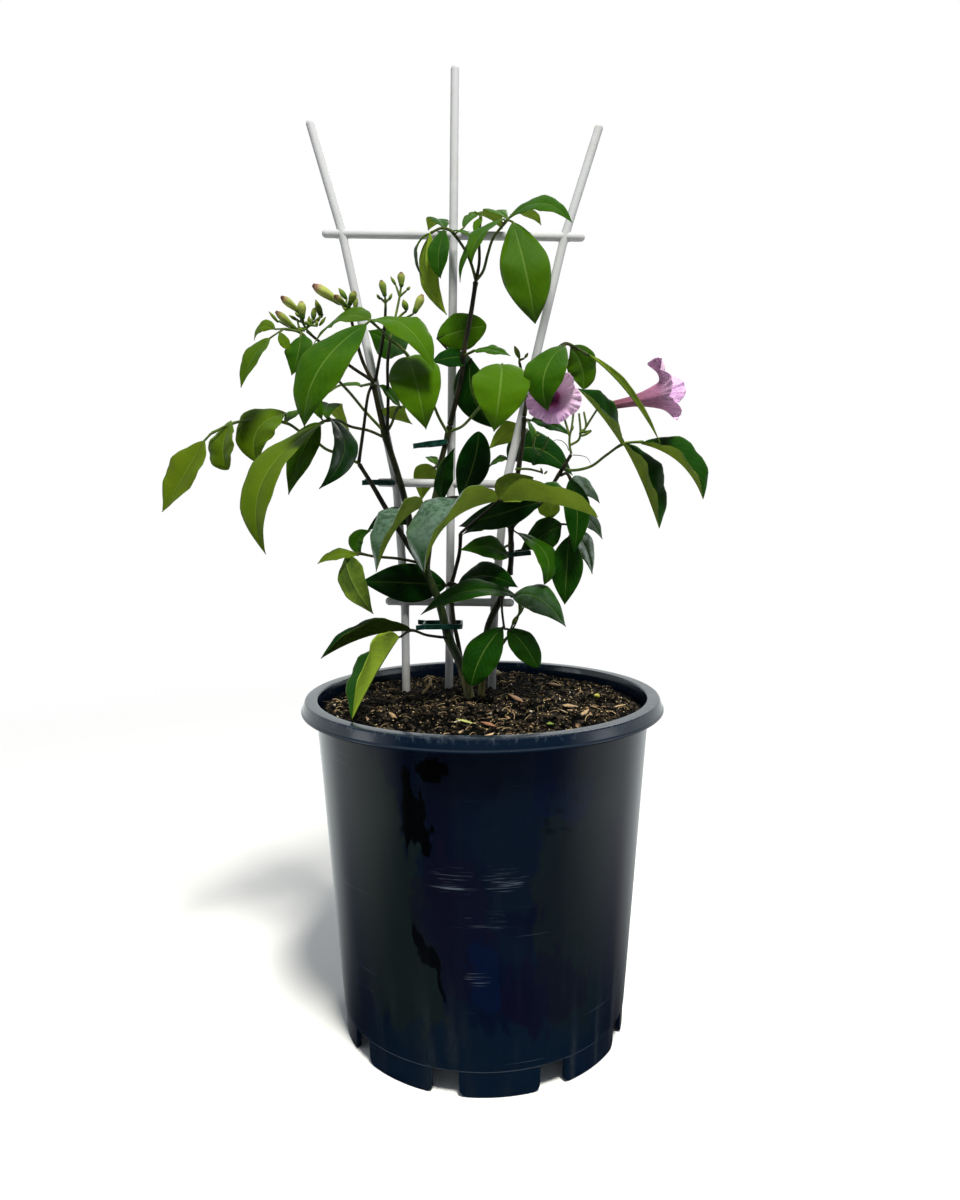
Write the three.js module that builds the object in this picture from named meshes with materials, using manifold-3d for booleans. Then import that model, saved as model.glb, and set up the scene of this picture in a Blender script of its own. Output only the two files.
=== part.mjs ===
// A young bower of beauty vine in a nursery pot, tied to a white fan trellis, with pink flowers and buds.
// Millimetres, +Z up, seen from the front along +Y. The pot stands on z = 0 with its axis at x = y = 0 while
// the pieces are made, and the whole plant is then moved so that its box is centred over the origin.
import * as THREE from 'three'
import { mergeVertices } from 'three/addons/utils/BufferGeometryUtils.js'
import Module from 'manifold-3d'

const wasm = await Module()
wasm.setup()

// Driving dimensions of the pot, a 200 mm nursery pot with a castellated foot
const rimRadius = 100
const potHeight = rimRadius * 1.933
const wall = 1.7
const rimWidth = 6.4
const flangeHeight = 7
const flangeRadius = rimRadius + 2.7
const bodyTopRadius = rimRadius - 5.7
const bodyFootRadius = rimRadius - 17.4
const footRadius = bodyFootRadius - 0.9
const skirtHeight = 14.6
const skirtWall = 2.4
const floorThickness = 2.4
const slotCount = 9
const slotWidth = 14.7
const firstSlotAngle = -14.5
const potSides = 36

// Soil, filled to a little under the rim
const soilLevel = potHeight - 6
const soilBump = 1.3
const seatGap = 0.3

// Trellis, a moulded fan 450 mm long with its legs in the soil
const rodDiameter = 5
const trellisDepth = 38
const legBottom = soilLevel - 86
const rodSides = 6

// Leaves: a blade under each width has that many steps along it, and a broad one has twice the steps across
const bladeThickness = 0.7
const stalkDiameter = 1.8
const neckWidth = 1.6
const neckInset = 0.6
const bladeSteps = [[8, 3], [15, 4], [Infinity, 5]]
const broadBlade = 24

// Sides of the round pieces, fewer on the thin ones, and the least volume of a body that is kept, in mm3
const twigDiameter = 4
const stemSides = 6
const twigSides = 5
const stalkSides = 4
const budSides = 4
const smallestBody = 1

// Colours
const leafGreen = 0x3f7a1c
const stemBrown = 0x2b3316
const petalPink = 0xd9a3d2
const budGreen = 0xa8b04a

// Routes of the stems: the main one first, then its side shoots, each from the stem that it leaves
const canes = {
  'cane-left': [
    { thick: 6.2, thin: 4.6, through: [
      [-7, 3, 178], [-7, 7, 187], [-13, 17, 207], [-20, 26, 221], [-26, 28, 244], [-34, 26, 263],
    ] },
    { thick: 4.4, thin: 3.2, through: [
      [-34, 26, 263], [-40, 28, 277], [-44, 30, 298], [-50, 31, 321], [-56, 29, 341], [-59, 27, 355],
      [-62, 25, 371],
    ] },
    { thick: 3.8, thin: 2.4, through: [
      [-33, 26, 261], [-43, 22, 277], [-54, 19, 296], [-63, 19, 312], [-71, 20, 325],
    ] },
    { thick: 2.2, thin: 1.8, through: [[-62, 25, 371], [-68, 23, 384], [-72, 20, 400], [-74, 18, 410]] },
    { thick: 2, thin: 1.6, through: [[-63, 25, 373], [-74, 22, 380], [-87, 17, 390], [-98, 13, 399]] },
    { thick: 2, thin: 1.6, through: [[-61, 25, 372], [-57, 20, 388], [-54, 16, 402], [-53, 14, 413]] },
    { thick: 2, thin: 1.6, through: [[-55, 29, 341], [-53, 18, 361], [-51, 0, 380], [-49, -2, 392]] },
    { thick: 2, thin: 1.6, through: [[-71, 20, 325], [-68, 22, 345], [-65, 24, 365], [-63, 25, 370]] },
  ],
  'cane-centre': [
    { thick: 3.8, thin: 3.2, through: [
      [-33, 26, 261], [-30, 27, 283], [-27, 29, 305], [-24, 31, 324], [-20, 31, 339], [-18, 30, 347],
    ] },
    { thick: 3.2, thin: 2.6, through: [
      [-18, 30, 347], [-14, 27, 362], [-11, 24, 374], [-9, 21, 389], [-5, 20, 409], [-2, 23, 428],
    ] },
    { thick: 2, thin: 1.4, through: [[-2, 23, 428], [0, 26, 439], [0, 28, 452], [1, 30, 465]] },
  ],
  'cane-right': [
    { thick: 4.6, thin: 3.8, through: [
      [-2, 16, 175], [-1, 19, 184], [2, 24, 211], [4, 26, 228], [11, 28, 243], [17, 30, 258],
    ] },
    { thick: 3.4, thin: 2.4, through: [
      [17, 30, 258], [18, 31, 268], [18, 29, 287], [20, 29, 303], [22, 30, 318], [25, 30, 338],
      [26, 30, 352],
    ] },
    { thick: 2.2, thin: 1.6, through: [[26, 30, 352], [27, 30, 364], [25, 28, 374], [23, 27, 383]] },
    { thick: 2.6, thin: 2, through: [
      [18, 29, 287], [26, 20, 295], [35, 14, 302], [44, 13, 316], [52, 12, 329],
    ] },
    { thick: 1.4, thin: 0.8, through: [
      [3, 24, 208], [8, 21, 212], [16, 19, 223], [21, 16, 233], [23, 14, 242],
    ] },
  ],
  'stem-slender': [
    { thick: 2.8, thin: 2.2, through: [
      [-7, 22, 175], [-9, 26, 185], [-14, 31, 215], [-17, 32, 231], [-18, 32, 252], [-16, 31, 260],
      [-13, 27, 272], [-12, 21, 284],
    ] },
  ],
}

// Leaves: what carries each leaf, its stalk's route, and its leaflets. A leaflet has its base, a point
// halfway along its midrib, its tip, its width, the way its upper side faces halfway, and its fold in degrees
const leaflet = (from, past, to, width, face, fold) => ({ from, past, to, width, face, fold })
const fronds = {
  'leaf-top-right': {
    on: 'cane-centre',
    stalk: [[-2, 23, 428], [2, 23, 433], [5, 23, 443], [8, 22, 451], [16, 18, 460]],
    leaflets: [
      leaflet([17, 18, 461], [35, 10, 466], [51, 4, 454], 16, [0, -0.75, 0.7], 15),
      leaflet([19, 16, 458], [26, 4, 427], [31, 8, 401], 28, [-0.1, -0.97, 0.2], 8),
      leaflet([14, 17, 460], [0, 4, 447], [-4, 0, 432], 14, [-0.5, -0.6, 0.6], 22),
      leaflet([12, 18, 460], [-5, 20, 446], [-11, 18, 426], 9, [-0.6, -0.5, 0.5], 22),
      leaflet([18, 20, 462], [28, 36, 469], [37, 46, 465], 12, [0, -0.1, 1], 15),
      leaflet([16, 20, 461], [9, 36, 470], [14, 50, 464], 14, [0, 0.2, 1], 15),
    ],
  },
  'leaf-top-left': {
    on: 'cane-centre',
    stalk: [
      [-2, 23, 428], [-4, 25, 436], [-7, 27, 444], [-12, 28, 452], [-17, 30, 458], [-22, 30, 459],
      [-28, 29, 456],
    ],
    leaflets: [
      leaflet([-28, 29, 456], [-36, 26, 446], [-32, 24, 429], 8, [-1, -0.3, 0.1], 20),
      leaflet([-20, 29, 458], [-23, 19, 441], [-22, 17, 428], 13, [-0.2, -0.95, 0.1], 25),
      leaflet([-28, 29, 456], [-30, 27, 432], [-19, 27, 410], 15, [0.6, 0.75, 0.1], 25),
      leaflet([-20, 31, 459], [-25, 47, 469], [-31, 59, 466], 13, [0, 0.1, 1], 15),
      leaflet([-9, 30, 459], [-2, 47, 472], [7, 58, 472], 10, [0, 0, 1], 15),
      leaflet([-16, 29, 457], [-10, 22, 455], [-5, 16, 450], 6, [0, -0.3, 1], 15),
    ],
  },
  'leaf-upper-left': {
    on: 'cane-centre',
    stalk: [
      [-19, 30, 342], [-24, 24, 351], [-27, 18, 358], [-34, 6, 370], [-40, -2, 383], [-49, -6, 391],
      [-59, -10, 400],
    ],
    leaflets: [
      leaflet([-58, -10, 400], [-38, -26, 393], [-24, -32, 371], 25, [0.3, -0.6, 0.75], 15),
      leaflet([-60, -10, 400], [-78, 0, 403], [-95, 8, 385], 17, [-0.3, -0.5, 0.8], 25),
      leaflet([-61, -11, 398], [-83, -34, 371], [-92, -32, 342], 27, [-0.2, -0.9, 0.4], 10),
      leaflet([-39, -2, 382], [-33, -24, 362], [-29, -22, 341], 28, [-0.05, -0.9, 0.45], 12),
      leaflet([-42, 3, 385], [-52, 24, 394], [-65, 30, 402], 20, [-0.2, -0.9, 0.3], 12),
    ],
  },
  'leaf-middle': {
    on: 'cane-centre',
    stalk: [[-17, 30, 344], [-11, 25, 346], [-5, 18, 351], [4, 4, 361], [10, -6, 372], [12, -12, 376]],
    leaflets: [
      leaflet([12, -12, 376], [10, -32, 358], [7, -30, 339], 31, [0, -0.85, 0.5], 10),
    ],
  },
  'leaf-centre': {
    on: 'cane-centre',
    stalk: [[-9, 21, 385], [-13, 27, 387], [-17, 29, 389]],
    leaflets: [
      leaflet([-22, 29, 393], [-11, 28, 401], [5, 27, 404], 23, [0.05, -0.97, 0.2], 6),
      leaflet([-14, 27, 387], [-18, 22, 385], [-25, 18, 383], 9, [0, -0.5, 0.9], 12),
      leaflet([-14, 27, 386], [-13, 30, 366], [5, 28, 342], 22, [0.3, 0.95, 0.3], 12),
    ],
  },
  'leaf-centre-right': {
    on: 'cane-centre',
    stalk: [[-9, 21, 386], [-6, 19, 387], [-3, 16, 388]],
    leaflets: [
      leaflet([-3, 16, 388], [6, 8, 387], [17, 4, 383], 13, [0, -0.5, 0.85], 15),
    ],
  },
  'leaf-far-left': {
    on: 'cane-left',
    stalk: [
      [-57, 28, 344], [-67, 24, 355], [-74, 17, 364], [-80, 9, 371], [-90, 2, 384], [-98, -2, 395],
      [-107, -4, 397],
    ],
    leaflets: [
      leaflet([-107, -4, 397], [-118, -14, 386], [-128, -20, 363], 13, [-0.6, -0.6, 0.4], 25),
      leaflet([-107, -3, 399], [-118, 2, 401], [-126, 6, 391], 9, [-0.2, -0.6, 0.8], 20),
      leaflet([-103, -6, 393], [-106, -10, 388], [-103, -10, 382], 7, [-0.8, -0.5, 0.1], 20),
      leaflet([-98, -4, 393], [-98, -11, 383], [-102, -12, 371], 17, [-0.3, -0.9, 0.2], 15),
    ],
  },
  'leaf-left-tip': {
    on: 'cane-left',
    stalk: [
      [-71, 20, 325], [-81, 18, 330], [-89, 16, 333], [-95, 13, 338], [-103, 10, 343], [-109, 8, 347],
      [-124, 4, 349], [-137, 0, 347], [-149, -4, 341],
    ],
    leaflets: [
      leaflet([-148, -4, 341], [-165, -12, 323], [-174, -14, 297], 24, [-0.55, -0.7, 0.2], 32),
      leaflet([-137, 0, 347], [-144, -14, 336], [-136, -18, 320], 18, [-0.4, -0.85, 0.3], 15),
      leaflet([-111, 8, 348], [-122, -2, 341], [-124, -8, 323], 26, [-0.3, -0.9, 0.25], 20),
      leaflet([-110, 9, 348], [-107, 18, 354], [-103, 26, 356], 8, [0, -0.3, 1], 15),
    ],
  },
  'leaf-left-hanging': {
    on: 'cane-left',
    stalk: [[-56, 29, 340], [-65, 26, 344], [-75, 18, 346], [-81, 11, 349], [-88, 4, 348]],
    leaflets: [
      leaflet([-88, 3, 347], [-114, -34, 314], [-113, -38, 276], 25, [-0.5, -0.85, 0.15], 22),
      leaflet([-87, 4, 347], [-100, 2, 329], [-110, 4, 306], 17, [0.25, -0.95, 0.1], 15),
      leaflet([-83, 8, 349], [-74, -8, 330], [-89, -16, 309], 19, [0.45, -0.85, 0.3], 28),
      leaflet([-86, 5, 349], [-87, 24, 359], [-77, 34, 341], 15, [0, -0.2, 1], 15),
      leaflet([-89, 4, 349], [-94, 4, 363], [-98, 8, 378], 9, [0.3, -0.9, 0.1], 15),
    ],
  },
  'leaf-inner-left': {
    on: 'cane-left',
    stalk: [[-56, 29, 342], [-52, 26, 348], [-48, 20, 356], [-46, 18, 357]],
    leaflets: [
      leaflet([-46, 18, 357], [-52, 12, 364], [-57, 8, 368], 9, [0.3, -0.7, 0.6], 20),
      leaflet([-46, 19, 357], [-51, 30, 356], [-41, 42, 349], 15, [0, 0.8, 0.5], 15),
    ],
  },
  'leaf-inner-back': {
    on: 'cane-left',
    stalk: [[-62, 25, 371], [-67, 30, 371], [-71, 36, 371]],
    leaflets: [
      leaflet([-71, 36, 371], [-86, 46, 372], [-103, 52, 361], 13, [0, -0.3, 1], 15),
    ],
  },
  'leaf-shaded': {
    on: 'cane-centre',
    stalk: [[-27, 29, 305], [-22, 22, 304], [-17, 16, 305], [-12, 12, 305]],
    leaflets: [
      leaflet([-12, 12, 305], [-4, 8, 324], [-1, 8, 342], 19, [0.1, -0.98, 0], 8),
      leaflet([-22, 21, 304], [-22, 15, 318], [-15, 14, 333], 13, [0.5, -0.8, 0.1], 35),
    ],
  },
  'leaf-behind': {
    on: 'cane-centre',
    stalk: [[-24, 31, 324], [-26, 38, 324], [-28, 44, 323]],
    leaflets: [
      leaflet([-28, 44, 323], [-34, 52, 318], [-37, 56, 303], 16, [0, 0.9, 0.3], 15),
      leaflet([-26, 38, 324], [-30, 44, 329], [-33, 50, 329], 7, [0, -0.3, 1], 15),
    ],
  },
  'leaf-right-back': {
    on: 'cane-right',
    stalk: [[23, 30, 323], [24, 38, 326], [22, 46, 327], [17, 51, 328]],
    leaflets: [
      leaflet([17, 51, 328], [35, 58, 335], [57, 52, 318], 25, [0, -0.85, 0.5], 12),
      leaflet([17, 51, 328], [11, 52, 328], [5, 54, 323], 8, [0, -0.5, 0.8], 15),
    ],
  },
  'leaf-right-upper': {
    on: 'cane-right',
    stalk: [[26, 30, 342], [28, 38, 345], [26, 43, 345]],
    leaflets: [
      leaflet([26, 43, 345], [17, 47, 344], [5, 46, 334], 16, [0, 0.7, 0.7], 15),
    ],
  },
  'leaf-under-flower': {
    on: 'cane-right',
    stalk: [[26, 30, 350], [30, 33, 350]],
    leaflets: [
      leaflet([30, 33, 350], [41, 34, 348], [53, 30, 341], 12, [0, -0.6, 0.8], 15),
      leaflet([28, 32, 350], [30, 24, 344], [30, 18, 337], 6, [0.6, -0.8, 0.1], 20),
    ],
  },
  'leaf-front': {
    on: 'stem-slender',
    stalk: [[-12, 21, 284], [-4, 10, 291], [4, -4, 298], [10, -12, 303]],
    leaflets: [
      leaflet([10, -12, 303], [-11, -46, 293], [-30, -54, 266], 29, [-0.62, -0.42, 0.7], 52),
      leaflet([10, -12, 303], [37, -38, 303], [61, -36, 294], 27, [0.1, 0.2, 1], 55),
      leaflet([10, -12, 303], [22, 2, 309], [40, 16, 314], 24, [-0.3, 0.1, 1], 45),
    ],
  },
  'leaf-front-left': {
    on: 'cane-centre',
    stalk: [[-27, 29, 302], [-29, 18, 299], [-31, 8, 299]],
    leaflets: [
      leaflet([-31, 8, 299], [-43, -16, 284], [-60, -24, 265], 23, [-0.62, -0.42, 0.7], 50),
    ],
  },
  'leaf-left-shaded': {
    on: 'cane-left',
    stalk: [[-41, 29, 286], [-43, 33, 289]],
    leaflets: [
      leaflet([-42, 32, 288], [-53, 31, 294], [-68, 26, 285], 13, [0, -0.85, 0.5], 10),
    ],
  },
  'leaf-under': {
    on: 'cane-right',
    stalk: [[18, 29, 286], [14, 22, 289], [11, 18, 289]],
    leaflets: [
      leaflet([13, 22, 289], [3, 21, 290], [-11, 25, 283], 14, [0, -0.6, 0.8], 15),
      leaflet([20, 24, 285], [32, 8, 277], [37, 4, 255], 17, [0.4, -0.85, 0.3], 15),
    ],
  },
  'leaf-dark-under': {
    on: 'cane-right',
    stalk: [[35, 14, 302], [31, 8, 301]],
    leaflets: [
      leaflet([31, 8, 301], [11, 8, 295], [-9, 21, 288], 22, [0, -0.95, 0.2], 8),
      leaflet([34, 10, 302], [39, 22, 298], [39, 28, 291], 11, [0, 0.7, 0.7], 15),
    ],
  },
  'leaf-low-left': {
    on: 'cane-left',
    stalk: [[-36, 26, 266], [-48, 22, 269], [-63, 16, 271], [-71, 12, 273], [-76, 10, 273]],
    leaflets: [
      leaflet([-76, 10, 273], [-84, 6, 275], [-93, 0, 267], 10, [0, -0.3, 1], 20),
      leaflet([-75, 10, 273], [-75, -4, 260], [-61, -8, 240], 21, [0.35, 0.9, 0.2], 18),
      leaflet([-70, 13, 273], [-72, 16, 281], [-64, 14, 286], 11, [-0.4, -0.8, 0.3], 25),
    ],
  },
  'leaf-low-pair': {
    on: 'stem-slender',
    stalk: [[-18, 32, 252], [-20, 30, 253], [-18, 28, 254], [-15, 27, 253]],
    leaflets: [
      leaflet([-21, 31, 252], [-46, 31, 254], [-71, 18, 256], 24, [0, -0.99, 0.12], 8),
      leaflet([-14, 27, 253], [2, 17, 259], [21, 8, 253], 21, [0, -0.8, 0.6], 12),
    ],
  },
  'leaf-low-front': {
    on: 'cane-right',
    stalk: [[15, 29, 251], [17, 21, 247], [18, 14, 247]],
    leaflets: [
      leaflet([17, 14, 247], [-8, -8, 250], [-33, -12, 236], 18, [0, -0.75, 0.65], 18),
      leaflet([18, 14, 247], [33, 2, 247], [48, 0, 231], 20, [0.2, -0.8, 0.5], 12),
    ],
  },
  'leaf-over-rim': {
    on: 'cane-left',
    stalk: [[-20, 26, 221], [-26, 17, 223], [-33, 12, 225], [-41, 10, 228], [-47, 4, 225]],
    leaflets: [
      leaflet([-41, 10, 228], [-63, 2, 235], [-90, -14, 215], 20, [0, -0.8, 0.65], 25),
      leaflet([-47, 4, 225], [-55, -34, 216], [-66, -64, 193], 23, [-0.62, -0.42, 0.7], 50),
    ],
  },
  'leaf-low-hanging': {
    on: 'cane-right',
    stalk: [[17, 30, 258], [13, 24, 250], [12, 19, 241], [13, 6, 229]],
    leaflets: [
      leaflet([12, 6, 228], [2, -6, 218], [-7, -8, 199], 19, [-0.2, -0.95, 0.2], 10),
      leaflet([13, 6, 229], [25, -2, 223], [30, -4, 208], 17, [0.3, -0.9, 0.3], 10),
    ],
  },
  'leaf-low-right': {
    on: 'cane-right',
    stalk: [[18, 31, 276], [15, 24, 276], [13, 18, 275]],
    leaflets: [
      leaflet([13, 18, 275], [3, 10, 277], [-12, 4, 275], 17, [0, -0.7, 0.7], 15),
    ],
  },
  'leaf-right-cluster': {
    on: 'cane-right',
    stalk: [[46, 13, 317], [49, 9, 318], [51, 8, 315], [53, 14, 303], [52, 16, 290], [52, 14, 280]],
    leaflets: [
      leaflet([51, 8, 315], [54, -2, 296], [52, -4, 273], 15, [0, -1, 0.1], 15),
      leaflet([51, 17, 290], [40, 27, 287], [29, 29, 282], 15, [0, -0.8, 0.5], 12),
      leaflet([52, 13, 280], [50, 6, 264], [48, 6, 243], 19, [-0.1, -1, 0.15], 10),
      leaflet([52, 9, 315], [61, 16, 310], [69, 16, 301], 12, [0.3, -0.7, 0.6], 15),
      leaflet([54, 16, 295], [63, 20, 292], [71, 18, 280], 14, [0.3, -0.7, 0.6], 15),
      leaflet([53, 15, 281], [61, 22, 276], [66, 24, 259], 13, [0.3, -0.9, 0.2], 15),
    ],
  },
  'leaf-over-flower': {
    on: 'cane-right',
    stalk: [
      [26, 30, 354], [29, 30, 363], [32, 30, 370], [38, 22, 382], [44, 8, 388], [48, -4, 388],
      [55, -6, 384], [59, -8, 381],
    ],
    leaflets: [
      leaflet([46, -5, 387], [34, -24, 369], [36, -22, 350], 23, [-0.3, -0.9, 0.4], 15),
      leaflet([50, -2, 386], [60, 6, 381], [58, 8, 365], 22, [0.35, -0.9, 0.2], 12),
      leaflet([59, -8, 381], [79, -22, 364], [96, -22, 332], 14, [0.65, 0.2, 0.7], 55),
    ],
  },
  'leaf-far-right': {
    on: 'cane-right',
    stalk: [[48, 13, 321], [53, 16, 320], [63, 10, 322], [71, 5, 328], [80, 0, 334], [91, -2, 335]],
    leaflets: [
      leaflet([79, 0, 335], [68, -15, 351], [54, -20, 362], 23, [0.6, -0.4, 0.7], 42),
      leaflet([80, 0, 334], [95, -4, 312], [100, -8, 286], 19, [0.7, -0.5, 0.3], 42),
      leaflet([91, -2, 335], [112, -8, 327], [123, -12, 303], 23, [0.5, -0.1, 0.85], 45),
    ],
  },
  'leaf-shoot': {
    on: 'cane-centre',
    stalk: [[1, 30, 463], [1, 31, 466]],
    leaflets: [
      leaflet([1, 31, 465], [-1, 26, 460], [-3, 22, 454], 5, [-0.3, -0.9, 0.2], 20),
      leaflet([1, 31, 466], [-3, 28, 467], [-6, 26, 465], 5, [0, -0.3, 1], 15),
    ],
  },
}

// Heads: their stalks' routes, and each bud's base, tip and thickness
const heads = {
  'buds-left-outer': {
    on: 'cane-left',
    stalks: [
      [[-95, 14, 397], [-98, 12, 400], [-99, 8, 405]],
      [[-98, 12, 400], [-100, 8, 405], [-101, 8, 409]],
      [[-98, 12, 400], [-101, 8, 398], [-103, 5, 399]],
      [[-101, 8, 398], [-106, 9, 400], [-113, 10, 404]],
      [[-98, 12, 400], [-94, 15, 404], [-89, 18, 409]],
      [[-98, 12, 400], [-96, 16, 404], [-95, 18, 407]],
    ],
    buds: [
      { from: [-100, 8, 408], to: [-109, 0, 415], girth: 5.2 },
      { from: [-102, 5, 398], to: [-112, -1, 407], girth: 4.8 },
      { from: [-113, 10, 403], to: [-118, 9, 409], girth: 2.2 },
      { from: [-99, 8, 404], to: [-99, 6, 414], girth: 5.4 },
      { from: [-90, 18, 407], to: [-93, 17, 417], girth: 4.2 },
      { from: [-95, 18, 406], to: [-95, 20, 413], girth: 2.8 },
    ],
  },
  'buds-left-inner': {
    on: 'cane-left',
    stalks: [
      [[-73, 18, 408], [-74, 16, 411], [-75, 12, 412]],
      [[-74, 16, 411], [-77, 15, 413], [-79, 15, 414]],
      [[-74, 16, 411], [-73, 12, 412], [-73, 10, 413]],
      [[-74, 16, 411], [-76, 20, 415], [-76, 22, 418]],
      [[-74, 16, 411], [-72, 20, 412], [-71, 22, 414]],
    ],
    buds: [
      { from: [-78, 15, 414], to: [-93, 8, 423], girth: 6.6 },
      { from: [-75, 12, 412], to: [-80, 3, 416], girth: 4.8 },
      { from: [-73, 10, 412], to: [-69, 6, 419], girth: 4.8 },
      { from: [-76, 22, 418], to: [-81, 25, 425], girth: 3.6 },
      { from: [-71, 22, 413], to: [-71, 24, 420], girth: 3.2 },
    ],
  },
  'buds-centre-left': {
    on: 'cane-left',
    stalks: [
      [[-53, 14, 411], [-53, 13, 414], [-53, 12, 417]],
      [[-53, 13, 414], [-51, 12, 416]],
      [[-53, 13, 414], [-56, 14, 417]],
    ],
    buds: [
      { from: [-53, 12, 417], to: [-55, 11, 426], girth: 4.6 },
      { from: [-51, 12, 415], to: [-49, 12, 419], girth: 2 },
      { from: [-56, 14, 416], to: [-58, 14, 419], girth: 2 },
    ],
  },
  'buds-centre-right': {
    on: 'cane-left',
    stalks: [
      [[-49, -2, 392], [-47, 0, 401], [-44, 2, 415], [-43, 2, 421]],
      [[-44, 2, 415], [-46, 3, 421]],
      [[-44, 2, 415], [-40, 1, 418]],
      [[-47, 0, 401], [-41, 0, 403], [-36, -2, 405]],
      [[-47, 0, 401], [-43, 1, 405], [-40, 0, 407]],
    ],
    buds: [
      { from: [-43, 2, 420], to: [-43, 2, 428], girth: 4.8 },
      { from: [-46, 3, 421], to: [-49, 3, 426], girth: 2 },
      { from: [-40, 1, 418], to: [-38, 1, 420], girth: 2 },
      { from: [-36, -2, 405], to: [-31, -3, 415], girth: 5.2 },
      { from: [-40, 0, 407], to: [-42, 0, 413], girth: 4 },
    ],
  },
  'buds-right': {
    on: 'cane-right',
    stalks: [
      [[23, 27, 382], [23, 27, 384], [23, 26, 385]],
      [[23, 27, 384], [26, 26, 385]],
    ],
    buds: [
      { from: [23, 26, 385], to: [20, 25, 392], girth: 3.4 },
      { from: [26, 26, 385], to: [28, 25, 388], girth: 2 },
    ],
  },
  'flower-spray': {
    on: 'cane-right',
    stalks: [
      [[52, 12, 329], [51, 12, 334], [51, 12, 339], [52, 11, 344], [53, 10, 353]],
      [[51, 12, 339], [49, 18, 348], [46, 27, 360], [41, 32, 367]],
      [[51, 12, 334], [56, 11, 337], [57, 11, 341], [56, 10, 352]],
      [[57, 11, 341], [60, 11, 344], [59, 12, 353]],
      [[60, 11, 344], [63, 9, 349], [66, 5, 354]],
      [[57, 11, 341], [63, 8, 342]],
    ],
    buds: [],
  },
}

const vector = (p) => new THREE.Vector3(...p)

// A closed geometry as a solid that can be joined and cut, and back again
function solidOf(geometry) {
  const bare = geometry.clone()
  bare.deleteAttribute('normal')
  bare.deleteAttribute('uv')
  const merged = mergeVertices(bare, 1e-4)
  const vertProperties = new Float32Array(merged.attributes.position.array)
  const corner = (i) => new THREE.Vector3().fromArray(vertProperties, 3 * i)
  const faces = []
  for (let i = 0; i < merged.index.count; i += 3) {
    const [a, b, c] = merged.index.array.slice(i, i + 3)
    if (a !== b && b !== c && c !== a) faces.push([a, b, c])
  }
  const volume = faces.reduce((sum, [a, b, c]) => sum + corner(a).dot(corner(b).cross(corner(c))), 0)
  const outward = volume < 0 ? faces.map(([a, b, c]) => [a, c, b]) : faces
  const triVerts = new Uint32Array(outward.flat())
  return new wasm.Manifold(new wasm.Mesh({ numProp: 3, vertProperties, triVerts }))
}

// The faces that hold together, group by group, and only those that enclose more than a scrap
function withoutScraps(points, triVerts) {
  const owner = Array.from({ length: points.length / 3 }, (_, i) => i)
  const find = (i) => {
    while (owner[i] !== i) {
      owner[i] = owner[owner[i]]
      i = owner[i]
    }
    return i
  }
  const corner = (i) => new THREE.Vector3().fromArray(points, 3 * i)
  const faces = []
  for (let i = 0; i < triVerts.length; i += 3) faces.push(Array.from(triVerts.slice(i, i + 3)))
  for (const [a, b, c] of faces) {
    owner[find(b)] = find(a)
    owner[find(c)] = find(a)
  }
  const volumes = {}
  for (const [a, b, c] of faces) {
    const body = find(a)
    volumes[body] = (volumes[body] ?? 0) + corner(a).dot(corner(b).cross(corner(c))) / 6
  }
  return faces.filter(([a]) => volumes[find(a)] > smallestBody)
}

function geometryOf(solid) {
  const { vertProperties, triVerts } = solid.getMesh()
  const geometry = new THREE.BufferGeometry()
  geometry.setAttribute('position', new THREE.BufferAttribute(vertProperties, 3))
  geometry.setIndex(withoutScraps(vertProperties, triVerts).flat())
  geometry.computeVertexNormals()
  return geometry
}

const joined = (solids) => solids.reduce((whole, next) => whole.add(next))

function solidFromFaces(points, faces) {
  const geometry = new THREE.BufferGeometry().setFromPoints(points)
  geometry.setIndex(faces.flat())
  return solidOf(geometry)
}

// A thin surface given a thickness: both skins are the same faces, closed by a rim along each open edge
function thickened(points, skin, edges, thickness) {
  const slopes = points.map(() => new THREE.Vector3())
  skin.forEach(([a, b, c]) => {
    const turn = points[b].clone().sub(points[a]).cross(points[c].clone().sub(points[a]))
    for (const corner of [a, b, c]) slopes[corner].add(turn)
  })
  slopes.forEach((slope) => slope.normalize())
  const upper = points.map((p, i) => p.clone().addScaledVector(slopes[i], thickness / 2))
  const lower = points.map((p, i) => p.clone().addScaledVector(slopes[i], -thickness / 2))
  const count = points.length
  const faces = [...skin, ...skin.map(([a, b, c]) => [a + count, c + count, b + count])]
  for (const edge of edges) {
    edge.forEach((a, i) => {
      const b = edge[(i + 1) % edge.length]
      faces.push([a, a + count, b], [b, a + count, b + count])
    })
  }
  return solidFromFaces([...upper, ...lower], faces)
}

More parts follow.
